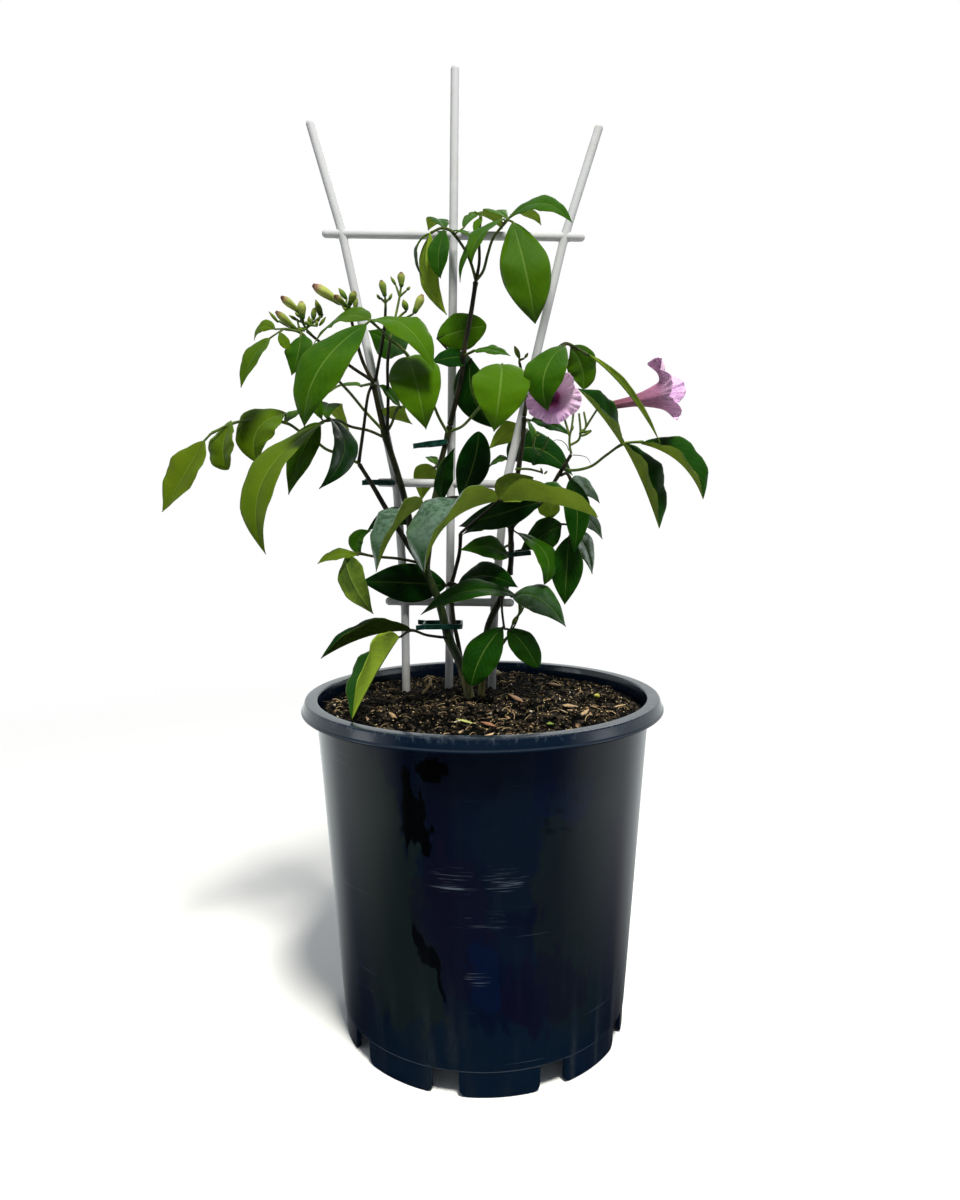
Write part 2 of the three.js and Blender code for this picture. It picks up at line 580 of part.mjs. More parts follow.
// A round rod through points, as thick at each point as its radius there, with flat or domed ends
function rod(points, radii, sides, dome = 0) {
  const middle = []
  const tangents = points.map((p, i) => {
    const before = points[Math.max(i - 1, 0)]
    const after = points[Math.min(i + 1, points.length - 1)]
    return after.clone().sub(before).normalize()
  })
  const corners = []
  const faces = []
  const sideways = Math.abs(tangents[0].y) < 0.9 ? new THREE.Vector3(0, 1, 0) : new THREE.Vector3(1, 0, 0)
  let across = sideways.cross(tangents[0]).normalize()
  points.forEach((p, i) => {
    across = across.clone().addScaledVector(tangents[i], -across.dot(tangents[i])).normalize()
    const up = tangents[i].clone().cross(across)
    middle.push(corners.length)
    for (let k = 0; k < sides; k++) {
      const angle = (2 * Math.PI * k) / sides
      const out = across.clone().multiplyScalar(Math.cos(angle)).addScaledVector(up, Math.sin(angle))
      corners.push(p.clone().addScaledVector(out, radii[i]))
    }
  })
  for (let i = 0; i < points.length - 1; i++) {
    for (let k = 0; k < sides; k++) {
      const a = middle[i] + k
      const b = middle[i] + ((k + 1) % sides)
      faces.push([a, b, a + sides], [b, b + sides, a + sides])
    }
  }
  const last = points.length - 1
  const start = corners.push(points[0].clone().addScaledVector(tangents[0], -dome)) - 1
  const end = corners.push(points[last].clone().addScaledVector(tangents[last], dome)) - 1
  for (let k = 0; k < sides; k++) {
    faces.push([start, middle[0] + ((k + 1) % sides), middle[0] + k])
    faces.push([end, middle[last] + k, middle[last] + ((k + 1) % sides)])
  }
  return solidFromFaces(corners, faces)
}

// A stem or stalk that bends smoothly through its points and tapers from one end to the other
function stem(through, thick, thin, { sides = stalkSides, between = 1, extra = 0, tip = 0 } = {}) {
  const curve = new THREE.CatmullRomCurve3(through.map(vector), false, 'centripetal')
  const steps = (through.length - 1) * between
  const points = Array.from({ length: steps + 1 }, (_, i) => curve.getPoint(i / steps))
  const radii = points.map((p, i) => THREE.MathUtils.lerp(thick, thin, i / steps) / 2 + extra)
  return rod(points, radii, sides, tip)
}

// One leaflet: an ovate blade with a drawn-out tip, folded along its midrib, its edges rolling down a little
const belly = 0.42
const bladeOutline = (t) => t < belly
  ? Math.sin((Math.PI / 2) * (t / belly)) ** 0.8
  : Math.cos((Math.PI / 2) * ((t - belly) / (1 - belly))) ** 1.15
const edgeRoll = 26
const edgeWave = 0.07
const waves = 2.5

function bladePath({ from, past, to }) {
  const [start, middle, end] = [from, past, to].map(vector)
  const bend = middle.clone().multiplyScalar(2).addScaledVector(start, -0.5).addScaledVector(end, -0.5)
  return new THREE.QuadraticBezierCurve3(start, bend, end)
}

function blade(leaflet, joint) {
  const along = bladeSteps.find(([width]) => leaflet.width < width)[1]
  const across = leaflet.width < broadBlade ? 2 : 4
  const path = bladePath(leaflet)
  const stations = Array.from({ length: along + 1 }, (_, i) => i / along)
  const tangents = stations.map((t) => path.getTangent(t))
  const centres = stations.map((t) => path.getPoint(t))

  // the upper side's direction is given at the middle, and is carried to both ends without twisting
  const half = Math.round(along / 2)
  const normals = []
  const face = vector(leaflet.face)
  normals[half] = face.clone().addScaledVector(tangents[half], -face.dot(tangents[half]))
  for (let i = half + 1; i <= along; i++) {
    normals[i] = normals[i - 1].clone().addScaledVector(tangents[i], -normals[i - 1].dot(tangents[i]))
  }
  for (let i = half - 1; i >= 0; i--) {
    normals[i] = normals[i + 1].clone().addScaledVector(tangents[i], -normals[i + 1].dot(tangents[i]))
  }
  normals.forEach((n) => n.normalize())

  // half a cross-section, as steps out from the midrib that start at the fold angle and roll down
  const steps = across / 2
  const halfSection = [[0, 0]]
  for (let k = 0; k < steps; k++) {
    const angle = THREE.MathUtils.degToRad(leaflet.fold - (edgeRoll * (k + 0.5)) / steps)
    const [out, up] = halfSection[k]
    halfSection.push([out + Math.cos(angle) / steps, up + Math.sin(angle) / steps])
  }
  const rows = stations.map((t, i) => {
    if (i === along) return [centres[i]]
    const reach = Math.max((leaflet.width / 2) * bladeOutline(t), neckWidth / 2)
    const side = tangents[i].clone().cross(normals[i])
    const row = []
    for (let k = -steps; k <= steps; k++) {
      const [out, up] = halfSection[Math.abs(k)]
      const wave = edgeWave * (Math.abs(k) / steps) * Math.sin(2 * Math.PI * waves * t + k)
      row.push(centres[i].clone().addScaledVector(side, Math.sign(k) * out * reach)
        .addScaledVector(normals[i], (up + wave) * reach))
    }
    return row
  })

  // the neck runs back from the blade's base into the stalk
  const lead = centres[0].clone().sub(joint)
  if (lead.length() < 0.5) lead.copy(tangents[0])
  const root = joint.clone().addScaledVector(lead.normalize(), -neckInset)
  rows.unshift([root])
  const first = [0]
  rows.forEach((row, i) => first.push(first[i] + row.length))
  const last = rows.length - 1
  const skin = []
  for (let i = 0; i < last; i++) {
    for (let k = 0; k < across; k++) {
      const [a, b, c, d] = [first[i] + k, first[i] + k + 1, first[i + 1] + k, first[i + 1] + k + 1]
      if (i === 0) skin.push([first[0], c, d])
      else if (i === last - 1) skin.push([a, first[last], b])
      else skin.push([a, c, d], [a, d, b])
    }
  }
  const inner = first.slice(1, last)
  const edge = [first[0], ...inner, first[last], ...inner.map((a) => a + across).reverse()]
  return thickened(rows.flat(), skin, [edge], bladeThickness)
}

// A leaf: a stalk with its leaflets, each blade on a narrow neck from the nearest place on the stalk
function leaf({ stalk, leaflets }) {
  const stalkCurve = new THREE.CatmullRomCurve3(stalk.map(vector), false, 'centripetal')
  const stalkPoints = stalkCurve.getPoints(12)
  const pieces = [stem(stalk, stalkDiameter, stalkDiameter * 0.85)]
  for (const leaflet of leaflets) {
    const start = vector(leaflet.from)
    const joint = stalkPoints.reduce((best, p) => (p.distanceTo(start) < best.distanceTo(start) ? p : best))
    pieces.push(blade(leaflet, joint))
  }
  return joined(pieces)
}

// A turned shape: its outline, as radius and height, spun about the upright axis
function turned(outline, sides) {
  const geometry = new THREE.LatheGeometry(outline.map(([r, z]) => new THREE.Vector2(r, z)), sides)
  return solidOf(geometry.rotateX(Math.PI / 2))
}

// The pot: a tapered wall with a turned-out rim, and a foot cut by drainage slots that reach into the floor
const under = potHeight - flangeHeight
const potWallAt = (z) => THREE.MathUtils.mapLinear(z, skirtHeight, under, bodyFootRadius, bodyTopRadius)
function makePot() {
  const floorTop = skirtHeight + floorThickness
  const shell = turned([
    [0, skirtHeight], [footRadius - skirtWall, skirtHeight], [footRadius - skirtWall, 0], [footRadius, 0],
    [bodyFootRadius, skirtHeight], [bodyTopRadius, under], [flangeRadius, under], [rimRadius, potHeight],
    [rimRadius - rimWidth, potHeight], [bodyTopRadius - wall, under - 3],
    [potWallAt(floorTop) - wall, floorTop], [0, floorTop],
  ], potSides)
  const slot = new THREE.Shape()
  const edge = slotWidth / 2
  slot.moveTo(-edge - 3.5, -1)
  slot.quadraticCurveTo(-edge - 0.5, 0.5, -edge, 5)
  slot.lineTo(-edge, skirtHeight - 1.5)
  slot.lineTo(-edge + 1.5, skirtHeight)
  slot.lineTo(edge - 1.5, skirtHeight)
  slot.lineTo(edge, skirtHeight - 1.5)
  slot.lineTo(edge, 5)
  slot.quadraticCurveTo(edge + 0.5, 0.5, edge + 3.5, -1)
  slot.closePath()
  const cutters = []
  for (let k = 0; k < slotCount; k++) {
    const angle = THREE.MathUtils.degToRad(firstSlotAngle + (360 * k) / slotCount)
    const cut = new THREE.ExtrudeGeometry(slot, { depth: 24, bevelEnabled: false, curveSegments: 2 })
    cut.rotateX(Math.PI / 2).translate(0, -66, 0).rotateZ(angle)
    const drain = new THREE.BoxGeometry(slotWidth - 3, 9, 12).translate(0, -74.5, floorTop).rotateZ(angle)
    cutters.push(solidOf(cut), solidOf(drain))
  }
  return shell.subtract(joined(cutters))
}

// Soil: fills the pot, its top a little uneven, with a plain hole for each leg and cane that stands in it
function makeSoil(standing) {
  const bottom = skirtHeight + floorThickness + seatGap
  const reach = potWallAt(soilLevel) - wall - 1.2
  const rings = [0, 0.4, 0.75, 1]
  const sectors = 30
  const points = [new THREE.Vector3(0, 0, soilLevel)]
  const faces = []
  const bumps = (r, a) => 0.6 * Math.sin(3 * a + 5 * r) + 0.4 * Math.sin(7 * a - 9 * r) - r * r
  const heightAt = (r, a) => soilLevel + soilBump * bumps(r, a)
  const ringAt = (radius, z) => {
    for (let k = 0; k < sectors; k++) {
      const a = (2 * Math.PI * k) / sectors
      points.push(new THREE.Vector3(radius * Math.cos(a), radius * Math.sin(a), z(a)))
    }
  }
  for (const r of rings.slice(1)) ringAt(r * reach, (a) => heightAt(r, a))
  ringAt(potWallAt(bottom) - wall - 1, () => bottom)
  const last = rings.length
  for (let k = 0; k < sectors; k++) {
    const next = (k + 1) % sectors
    faces.push([0, 1 + k, 1 + next])
    for (let i = 0; i < last - 1; i++) {
      const [a, b] = [1 + i * sectors + k, 1 + i * sectors + next]
      faces.push([a, a + sectors, b], [b, a + sectors, b + sectors])
    }
    faces.push([1 + (last - 1) * sectors + k, points.length, 1 + (last - 1) * sectors + next])
  }
  points.push(new THREE.Vector3(0, 0, bottom))
  return solidFromFaces(points, faces).subtract(joined(standing))
}

// Trellis: three uprights that fan out, and three crossbars moulded in one plane with them
const trellisLean = THREE.MathUtils.degToRad(1.17)
const trellisFoot = [-20.5, trellisDepth, soilLevel]
const fan = [[legBottom - soilLevel, 25], [54, 27.5], [126, 33], [270, 65], [333, 84]]
const centreTop = 364
const barHeights = [54, 126, 270]
const barOverhang = 12
const fanWidthAt = (height) => {
  const above = Math.max(1, fan.findIndex(([h]) => h >= height))
  const [[h0, w0], [h1, w1]] = [fan[above - 1], fan[above]]
  return THREE.MathUtils.mapLinear(height, h0, h1, w0, w1)
}
function onTrellis(across, height) {
  const [x, y, z] = trellisFoot
  return new THREE.Vector3(
    x + across * Math.cos(trellisLean) + height * Math.sin(trellisLean),
    y,
    z + height * Math.cos(trellisLean) - across * Math.sin(trellisLean),
  )
}
function roundedRod(points, extra = 0) {
  const r = rodDiameter / 2 + extra
  const ends = [points[0].clone().lerp(points[1], 0.02), points.at(-1).clone().lerp(points.at(-2), 0.02)]
  const whole = [points[0], ends[0], ...points.slice(1, -1), ends[1], points.at(-1)]
  const radii = [r * 0.6, ...Array(whole.length - 2).fill(r), r * 0.6]
  return rod(whole, radii, rodSides, 0.5)
}
function trellisRods(extra = 0) {
  const rods = [roundedRod([onTrellis(0, legBottom - soilLevel), onTrellis(0, centreTop)], extra)]
  for (const side of [-1, 1]) {
    rods.push(roundedRod(fan.map(([height, width]) => onTrellis(side * width, height)), extra))
  }
  for (const height of barHeights) {
    const reach = fanWidthAt(height) + barOverhang
    rods.push(roundedRod([onTrellis(-reach, height), onTrellis(reach, height)], extra))
  }
  return joined(rods)
}

// Ties: flat dark green clips round an upright and the cane before it, with two short tails
const tieHeight = 3.2
const tieThickness = 1.3
const ties = {
  'tie-left': { at: [-58, 34.5, 314], wide: 13, deep: 13, tail: -6, lean: -2 },
  'tie-centre': { at: [-26, 34.5, 337], wide: 14, deep: 13, tail: -7, lean: 6 },
  'tie-low': { at: [-23.5, 32.3, 228], wide: 24, deep: 19.6, tail: -4, lean: 0 },
  'tie-right': { at: [14, 34.5, 270], wide: 14, deep: 14, tail: 9, lean: 8 },
}
function makeTie({ at, wide, deep, tail, lean }, keepOut) {
  const outer = new THREE.BoxGeometry(wide, deep, tieHeight)
  const inner = new THREE.BoxGeometry(wide - 2 * tieThickness, deep - 2 * tieThickness, tieHeight + 1)
  const tailMiddle = (Math.sign(tail) * (wide + Math.abs(tail) - tieThickness)) / 2
  const tails = [-1, 1].map((side) => new THREE.BoxGeometry(Math.abs(tail), tieThickness, tieHeight)
    .translate(tailMiddle, (side * (deep - tieThickness)) / 2, 0))
  const place = (geometry) => geometry.rotateY(THREE.MathUtils.degToRad(-lean)).translate(...at)
  const band = solidOf(place(outer)).subtract(solidOf(place(inner)))
  return joined([band, ...tails.map((t) => solidOf(place(t)))]).subtract(keepOut)
}

// A bud: slender, widest at its middle
const budShape = [[0, 0.45], [0.45, 1], [0.9, 0.5]]
function bud({ from, to, girth }) {
  const points = budShape.map(([t]) => vector(from).lerp(vector(to), t))
  return rod(points, budShape.map(([, wide]) => (wide * girth) / 2), budSides, girth * 0.18)
}

// A head of buds, or a spray that lost its flowers
function head({ stalks, buds }) {
  return joined([...stalks.map((s) => stem(s, 1.4, 1.2, { sides: 3, tip: 0.3 })), ...buds.map(bud)])
}

// A trumpet flower: a narrow tube that opens to a throat, and five round lobes that spread from its mouth
const petalThickness = 0.7
const columnsPerLobe = 4
const lobeSteps = 2
const trumpet = [[0, 1.9], [0.45, 3.7], [0.8, 7.4], [1, 11]]
const flowers = {
  'flower-front': { from: [41, 27, 365], to: [41, -8, 358], lobe: 8, turn: 20, spread: [80, 95, 70, 75, 90] },
  'flower-side': { from: [71, 3, 355], to: [101, -6, 362], lobe: 11, turn: 0, spread: [105, 80, 60, 70, 95] },
}
function makeFlower({ from, to, lobe, turn, spread }) {
  const start = vector(from)
  const axis = vector(to).sub(start)
  const length = axis.length()
  axis.normalize()
  const over = new THREE.Vector3(0, 0, 1).addScaledVector(axis, -axis.z).normalize()
  const across = axis.clone().cross(over)
  const columns = spread.length * columnsPerLobe
  const rows = trumpet.length + lobeSteps
  const points = []
  const skin = []
  for (let i = 0; i < rows; i++) {
    for (let k = 0; k < columns; k++) {
      const angle = (2 * Math.PI * k) / columns + THREE.MathUtils.degToRad(turn)
      const out = over.clone().multiplyScalar(Math.cos(angle)).addScaledVector(across, Math.sin(angle))
      const [along, radius] = trumpet[Math.min(i, trumpet.length - 1)]
      const p = start.clone().addScaledVector(axis, along * length).addScaledVector(out, radius)
      const phase = ((k + columnsPerLobe / 2) % columnsPerLobe) / columnsPerLobe - 0.5
      const round = 0.15 + 0.85 * Math.cos(Math.PI * phase) ** 0.6
      const which = Math.floor((k + columnsPerLobe / 2) / columnsPerLobe) % spread.length
      for (let j = 1; j <= i - trumpet.length + 1; j++) {
        const lean = THREE.MathUtils.degToRad(THREE.MathUtils.lerp(45, spread[which], j / lobeSteps))
        const step = (lobe * round) / lobeSteps
        p.addScaledVector(axis, Math.cos(lean) * step).addScaledVector(out, Math.sin(lean) * step)
      }
      points.push(p)
      if (i < rows - 1) {
        const [a, b] = [i * columns + k, i * columns + ((k + 1) % columns)]
        skin.push([a, b, b + columns], [a, b + columns, a + columns])
      }
    }
  }
  const foot = points.push(start) - 1
  for (let k = 0; k < columns; k++) skin.push([foot, (k + 1) % columns, k])
  const mouth = Array.from({ length: columns }, (_, k) => (rows - 1) * columns + k)
  return thickened(points, skin, [mouth.reverse()], petalThickness)
}

// The calyx that holds a flower, with its mouth against the flower's foot
function makeCalyx({ from, to }) {
  const start = vector(from)
  const axis = vector(to).sub(start).normalize()
  const at = (d) => start.clone().addScaledVector(axis, d)
  return rod([at(-seatGap - 6.5), at(-seatGap - 3.5), at(-seatGap - 0.7)], [0.9, 2.2, 2.8], 6, 0.2)
}

// Every piece, by its name
const pieces = {}
const clearances = {}
for (const [name, routes] of Object.entries(canes)) {
  const shapes = (extra, tip) => joined(routes.map(({ through, thick, thin }) => {
    const sides = thick > twigDiameter ? stemSides : twigSides
    const between = thick > twigDiameter ? 2 : 1
    return stem(through, thick, thin, { sides, between, extra, tip })
  }))
  pieces[name] = shapes(0, 0.5)
  clearances[name] = shapes(seatGap, 1.4)
}
const trellisClearance = trellisRods(seatGap)
pieces['cane-centre'] = pieces['cane-centre'].subtract(clearances['cane-left'])
pieces.trellis = trellisRods()
pieces.pot = makePot()
const rooted = ['cane-left', 'cane-right', 'stem-slender'].map((name) => clearances[name])
pieces.soil = makeSoil([trellisClearance, ...rooted])
const keepOut = joined([trellisClearance, ...Object.values(clearances)])
for (const [name, place] of Object.entries(ties)) pieces[name] = makeTie(place, keepOut)
for (const [name, frond] of Object.entries(fronds)) pieces[name] = leaf(frond).subtract(clearances[frond.on])
for (const [name, twigs] of Object.entries(heads)) pieces[name] = head(twigs).subtract(clearances[twigs.on])
for (const [name, flower] of Object.entries(flowers)) {
  pieces['flower-spray'] = pieces['flower-spray'].add(makeCalyx(flower))
  pieces[name] = makeFlower(flower)
}

// Colour and finish by the kind of piece
const finishes = [
  [/^pot$/, 0x0c1428, 0.25],
  [/^soil$/, 0x241710, 1],
  [/^trellis$/, 0xf2f2ee, 0.35],
  [/^tie-/, 0x0b2b20, 0.5],
  [/^(cane|stem)-/, stemBrown, 0.6],
  [/^leaf-/, leafGreen, 0.4],
  [/^buds-/, budGreen, 0.5],
  [/^flower-(front|side)$/, petalPink, 0.6],
  [/^flower-spray$/, stemBrown, 0.7],
]

// The plant, moved so that the middle of its box is over the origin
const plant = new THREE.Group()
for (const [name, solid] of Object.entries(pieces)) {
  const [, color, roughness] = finishes.find(([kind]) => kind.test(name))
  const material = new THREE.MeshStandardMaterial({ color, roughness, metalness: 0 })
  const mesh = new THREE.Mesh(geometryOf(solid), material)
  mesh.name = name
  plant.add(mesh)
}
const middle = new THREE.Box3().setFromObject(plant).getCenter(new THREE.Vector3())
plant.position.set(-middle.x, -middle.y, 0)

export default plant
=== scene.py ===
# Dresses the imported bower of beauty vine: pot, soil, trellis, ties, stems, leaves, buds and flowers.
# Shapes are in millimetres from the pot's axis and the ground, seen from the front along +Y.
# Lamps, floor and what the materials read are in metres.
import math
import random

import bpy
import numpy as np
from mathutils import Matrix, Vector, noise


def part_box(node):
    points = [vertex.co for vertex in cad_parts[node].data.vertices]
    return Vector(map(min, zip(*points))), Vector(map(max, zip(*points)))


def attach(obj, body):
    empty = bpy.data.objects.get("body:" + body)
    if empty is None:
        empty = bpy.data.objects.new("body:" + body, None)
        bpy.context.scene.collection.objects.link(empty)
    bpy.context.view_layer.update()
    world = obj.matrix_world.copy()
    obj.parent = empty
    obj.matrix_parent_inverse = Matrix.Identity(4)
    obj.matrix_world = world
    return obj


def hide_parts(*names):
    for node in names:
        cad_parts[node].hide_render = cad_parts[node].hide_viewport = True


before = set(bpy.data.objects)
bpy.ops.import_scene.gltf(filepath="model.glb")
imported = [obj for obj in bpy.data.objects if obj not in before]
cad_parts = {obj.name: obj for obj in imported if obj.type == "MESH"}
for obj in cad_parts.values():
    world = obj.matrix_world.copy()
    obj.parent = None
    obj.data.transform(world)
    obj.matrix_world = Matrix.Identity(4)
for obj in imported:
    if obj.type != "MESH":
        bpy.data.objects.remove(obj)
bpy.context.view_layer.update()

mm = 0.001
potLow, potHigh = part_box("pot")
potAxis = np.array([(potLow.x + potHigh.x) / 2, (potLow.y + potHigh.y) / 2, 0])


def toFrame(points):
    return np.asarray(points, float).reshape(-1, 3) * mm + potAxis


def turned(degrees, axis, size=3):
    return Matrix.Rotation(math.radians(degrees), size, axis)


class Wire:  # a value on its way through a tree of nodes: sums and products on it add Math nodes
    def __init__(self, tree, socket=None):
        self.tree = tree
        self.socket = socket

    def node(self, kind, settings=None, inputs=None, output=0):
        made = self.tree.nodes.new(kind)
        for name, value in (settings or {}).items():
            if name == "stops":
                ramp = made.color_ramp
                while len(ramp.elements) < len(value):
                    ramp.elements.new(0.5)
                for element, (position, colour) in zip(ramp.elements, value):
                    element.position = position
                    element.color = (*colour, 1)
            else:
                setattr(made, name, value)
        for name, value in (inputs or {}).items():
            if isinstance(value, Wire):
                self.tree.links.new(value.socket, made.inputs[name])
            else:
                made.inputs[name].default_value = value
        return Wire(self.tree, made.outputs[output] if made.outputs else None)

    def out(self, name):  # another output of the same node
        return Wire(self.tree, self.socket.node.outputs[name])

    def math(self, operation, *values):
        return self.node("ShaderNodeMath", {"operation": operation}, dict(enumerate(values)))

    def __add__(self, other):
        return self.math("ADD", self, other)

    def __sub__(self, other):
        return self.math("SUBTRACT", self, other)

    def __rsub__(self, other):
        return self.math("SUBTRACT", other, self)

    def __mul__(self, other):
        return self.math("MULTIPLY", self, other)

    def __truediv__(self, other):
        return self.math("DIVIDE", self, other)

    def __pow__(self, other):
        return self.math("POWER", self, other)

    def __abs__(self):
        return self.math("ABSOLUTE", self)

    __radd__ = __add__
    __rmul__ = __mul__


def newMaterial(name):
    material = bpy.data.materials.new(name)
    material.use_nodes = True
    material.node_tree.nodes.clear()
    return material, Wire(material.node_tree)


def spotOn(start):  # where a point is on the piece, in metres
    return start.node("ShaderNodeTexCoord", output="Object")


def axesOf(vector):  # its X, Y and Z, to be taken with out
    return vector.node("ShaderNodeSeparateXYZ", {}, {0: vector})


def attributeOf(start, name):
    return start.node("ShaderNodeAttribute", {"attribute_name": name}, output="Fac")


def cloudy(start, scale, detail=3, spot=None, stretch=None, distortion=0):
    spot = spot or spotOn(start)
    if stretch:
        spot = start.node("ShaderNodeMapping", {}, {"Vector": spot, "Scale": stretch})
    wanted = {"Vector": spot, "Scale": scale, "Detail": detail, "Distortion": distortion}
    return start.node("ShaderNodeTexNoise", {}, wanted)


def eased(value, low, high, fromValue=0.0, toValue=1.0):  # a smooth step between two levels
    wanted = {0: value, 1: low, 2: high, 3: fromValue, 4: toValue}
    return value.node("ShaderNodeMapRange", {"interpolation_type": "SMOOTHSTEP"}, wanted)


def colourMix(factor, a, b):
    start = next(v for v in (factor, a, b) if isinstance(v, Wire))
    a, b = [v if isinstance(v, Wire) else (*v, 1) for v in (a, b)]
    return start.node("ShaderNodeMix", {"data_type": "RGBA"}, {0: factor, 6: a, 7: b}, output=2)


def ramp(value, *stops):  # stops are a level and the colour there
    return value.node("ShaderNodeValToRGB", {"stops": stops}, {"Fac": value})


def bumpFrom(height, distance, strength=1.0):
    return height.node("ShaderNodeBump", {}, {"Height": height, "Distance": distance, "Strength": strength})


def finishMaterial(start, surface, glow=None, glowShare=0.0):
    # surface holds the Principled sockets; glow is the colour of the light that passes through thin tissue
    shader = start.node("ShaderNodeBsdfPrincipled", {}, surface)
    if glow:
        through = start.node("ShaderNodeBsdfTranslucent", {}, {"Color": (*glow, 1)})
        shader = start.node("ShaderNodeMixShader", {}, {0: glowShare, 1: shader, 2: through})
    start.node("ShaderNodeOutputMaterial", {}, {"Surface": shader})


# Meshes
def placeObject(name, data):
    made = bpy.data.objects.new(name, data)
    bpy.context.scene.collection.objects.link(made)
    return made


def storeOnPoints(mesh, label, values):
    mesh.attributes.new(label, "FLOAT", "POINT").data.foreach_set("value", np.asarray(values, np.float32))


def bandFaces(first, rings, count):  # quads from each closed ring of points to the next
    faces = []
    for a in range(first, first + (rings - 1) * count, count):
        b = a + count
        faces += [(a + k, b + k, b + (k + 1) % count, a + (k + 1) % count) for k in range(count)]
    return faces


def addTo(points, faces, more, moreFaces):
    faces += [[v + len(points) for v in face] for face in moreFaces]
    points += more


def newPiece(name, points, faces, material, attributes=None, uv=None):
    mesh = bpy.data.meshes.new(name)
    mesh.from_pydata(toFrame(points).tolist(), [], [list(map(int, f)) for f in faces])
    for label, values in (attributes or {}).items():
        storeOnPoints(mesh, label, values)
    if uv is not None:
        corners = np.zeros(len(mesh.loops), np.int32)
        mesh.loops.foreach_get("vertex_index", corners)
        mesh.uv_layers.new(name="blade").data.foreach_set("uv", np.asarray(uv, np.float32)[corners].ravel())
    mesh.materials.append(material)
    mesh.shade_smooth()
    return placeObject(name, mesh)


def settle(piece, slotName, *nodes):  # hands a finished piece to the frame
    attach(piece, "root")
    if nodes:
        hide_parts(*nodes)
    return piece


def joinPieces(target, other):
    both = [target, other]
    with bpy.context.temp_override(
        active_object=target, object=target, selected_objects=both, selected_editable_objects=both,
    ):
        bpy.ops.object.join()
    return target


def inputOf(tree, name):  # a modifier's input is set by its socket's identifier
    return next(item.identifier for item in tree.interface.items_tree
                if item.item_type == "SOCKET" and item.in_out == "INPUT" and item.name == name)


def newGeometryTree(name, **inputs):  # inputs hold the kind of each socket
    tree = bpy.data.node_groups.new(name, "GeometryNodeTree")
    for label, kind in inputs.items():
        tree.interface.new_socket(label, in_out="INPUT", socket_type=f"NodeSocket{kind}")
    tree.interface.new_socket("Result", in_out="OUTPUT", socket_type="NodeSocketGeometry")
    return tree, Wire(tree).node("NodeGroupInput")


def runTree(piece, tree, settings):  # evaluates the tree and leaves a plain mesh
    modifier = piece.modifiers.new(tree.name, "NODES")
    modifier.node_group = tree
    for label, value in settings.items():
        modifier[inputOf(tree, label)] = value
    piece.update_tag()
    evaluated = piece.evaluated_get(bpy.context.evaluated_depsgraph_get())
    made = bpy.data.meshes.new_from_object(evaluated)
    piece.modifiers.remove(modifier)
    piece.data = made
    return piece


# Rods along paths: stems, stalks, twigs, tendrils and the trellis all come from this tree
def makeRodTree():
    tree, given = newGeometryTree("rodsAlongPaths", Paths="Geometry", Sides="Int", Skin="Material")
    girth = given.node("GeometryNodeInputNamedAttribute", {"data_type": "FLOAT"}, {"Name": "girth"})
    lines = given.node("GeometryNodeMeshToCurve", {}, {"Mesh": given.out("Paths")})
    ring = given.node("GeometryNodeCurvePrimitiveCircle", {}, {
        "Resolution": given.out("Sides"), "Radius": 1.0})
    rods = given.node("GeometryNodeCurveToMesh", {}, {
        "Curve": lines, "Profile Curve": ring, "Scale": girth, "Fill Caps": True})
    rods = given.node("GeometryNodeSetShadeSmooth", {}, {"Geometry": rods})
    rods = given.node("GeometryNodeRealizeInstances", {}, {"Geometry": rods})
    rods = given.node("GeometryNodeSetMaterial", {}, {"Geometry": rods, "Material": given.out("Skin")})
    given.node("NodeGroupOutput", {}, {"Result": rods})
    return tree


rodTree = makeRodTree()


def smoothPath(through, steps):  # a centripetal curve through the points, as the solids' stems follow
    p = [Vector(q) for q in through]
    p = [p[0] * 2 - p[1], *p, p[-1] * 2 - p[-2]]
    path = []
    for a, b, c, d in zip(p, p[1:], p[2:], p[3:]):
        before, here, after = [max((v - u).length ** 0.5, 1e-4) for u, v in ((a, b), (b, c), (c, d))]
        leave = ((b - a) / before - (c - a) / (before + here) + (c - b) / here) * here
        arrive = ((c - b) / here - (d - b) / (here + after) + (d - c) / after) * here
        for k in range(steps):
            t = k / steps
            path.append(b + leave * t + (3 * (c - b) - 2 * leave - arrive) * t * t
                        + (2 * (b - c) + leave + arrive) * t ** 3)
    path.append(p[-2])
    return path


def domed(path, radii):  # rounds both ends of a rod off inside its own length
    path, radii = [Vector(p) for p in path], list(radii)
    for atEnd in (False, True):
        if atEnd:
            path.reverse()
            radii.reverse()
        inward = (path[1] - path[0]).normalized()
        r = min(radii[0], (path[1] - path[0]).length * 0.9)
        steps = [math.radians(a) for a in (88, 70, 45, 20)]
        cap = [path[0] + inward * r * (1 - math.sin(a)) for a in steps]
        path = [*cap, path[0] + inward * r, *path[1:]]
        radii = [*(radii[0] * math.cos(a) for a in steps), *radii]
        if atEnd:
            path.reverse()
            radii.reverse()
    return path, radii


def rods(name, routes, material, sides, tone=0.0):  # routes are (points, radii) in millimetres
    points, girths, edges = [], [], []
    for path, radii in routes:
        edges += [(len(points) + i, len(points) + i + 1) for i in range(len(path) - 1)]
        points += [tuple(p) for p in path]
        girths += list(radii)
    mesh = bpy.data.meshes.new(name)
    mesh.from_pydata(toFrame(points).tolist(), edges, [])
    storeOnPoints(mesh, "girth", np.array(girths, np.float32) * mm)
    storeOnPoints(mesh, "tone", np.full(len(points), tone, np.float32))
    mesh.materials.append(material)
    return runTree(placeObject(name, mesh), rodTree, {"Sides": sides, "Skin": material})


# Camera, floor and light
viewFrom = dict(place=(-0.9, -502.8, 304.6), down=6.57, roll=-0.39, focal=887.9, imageHeight=1200)


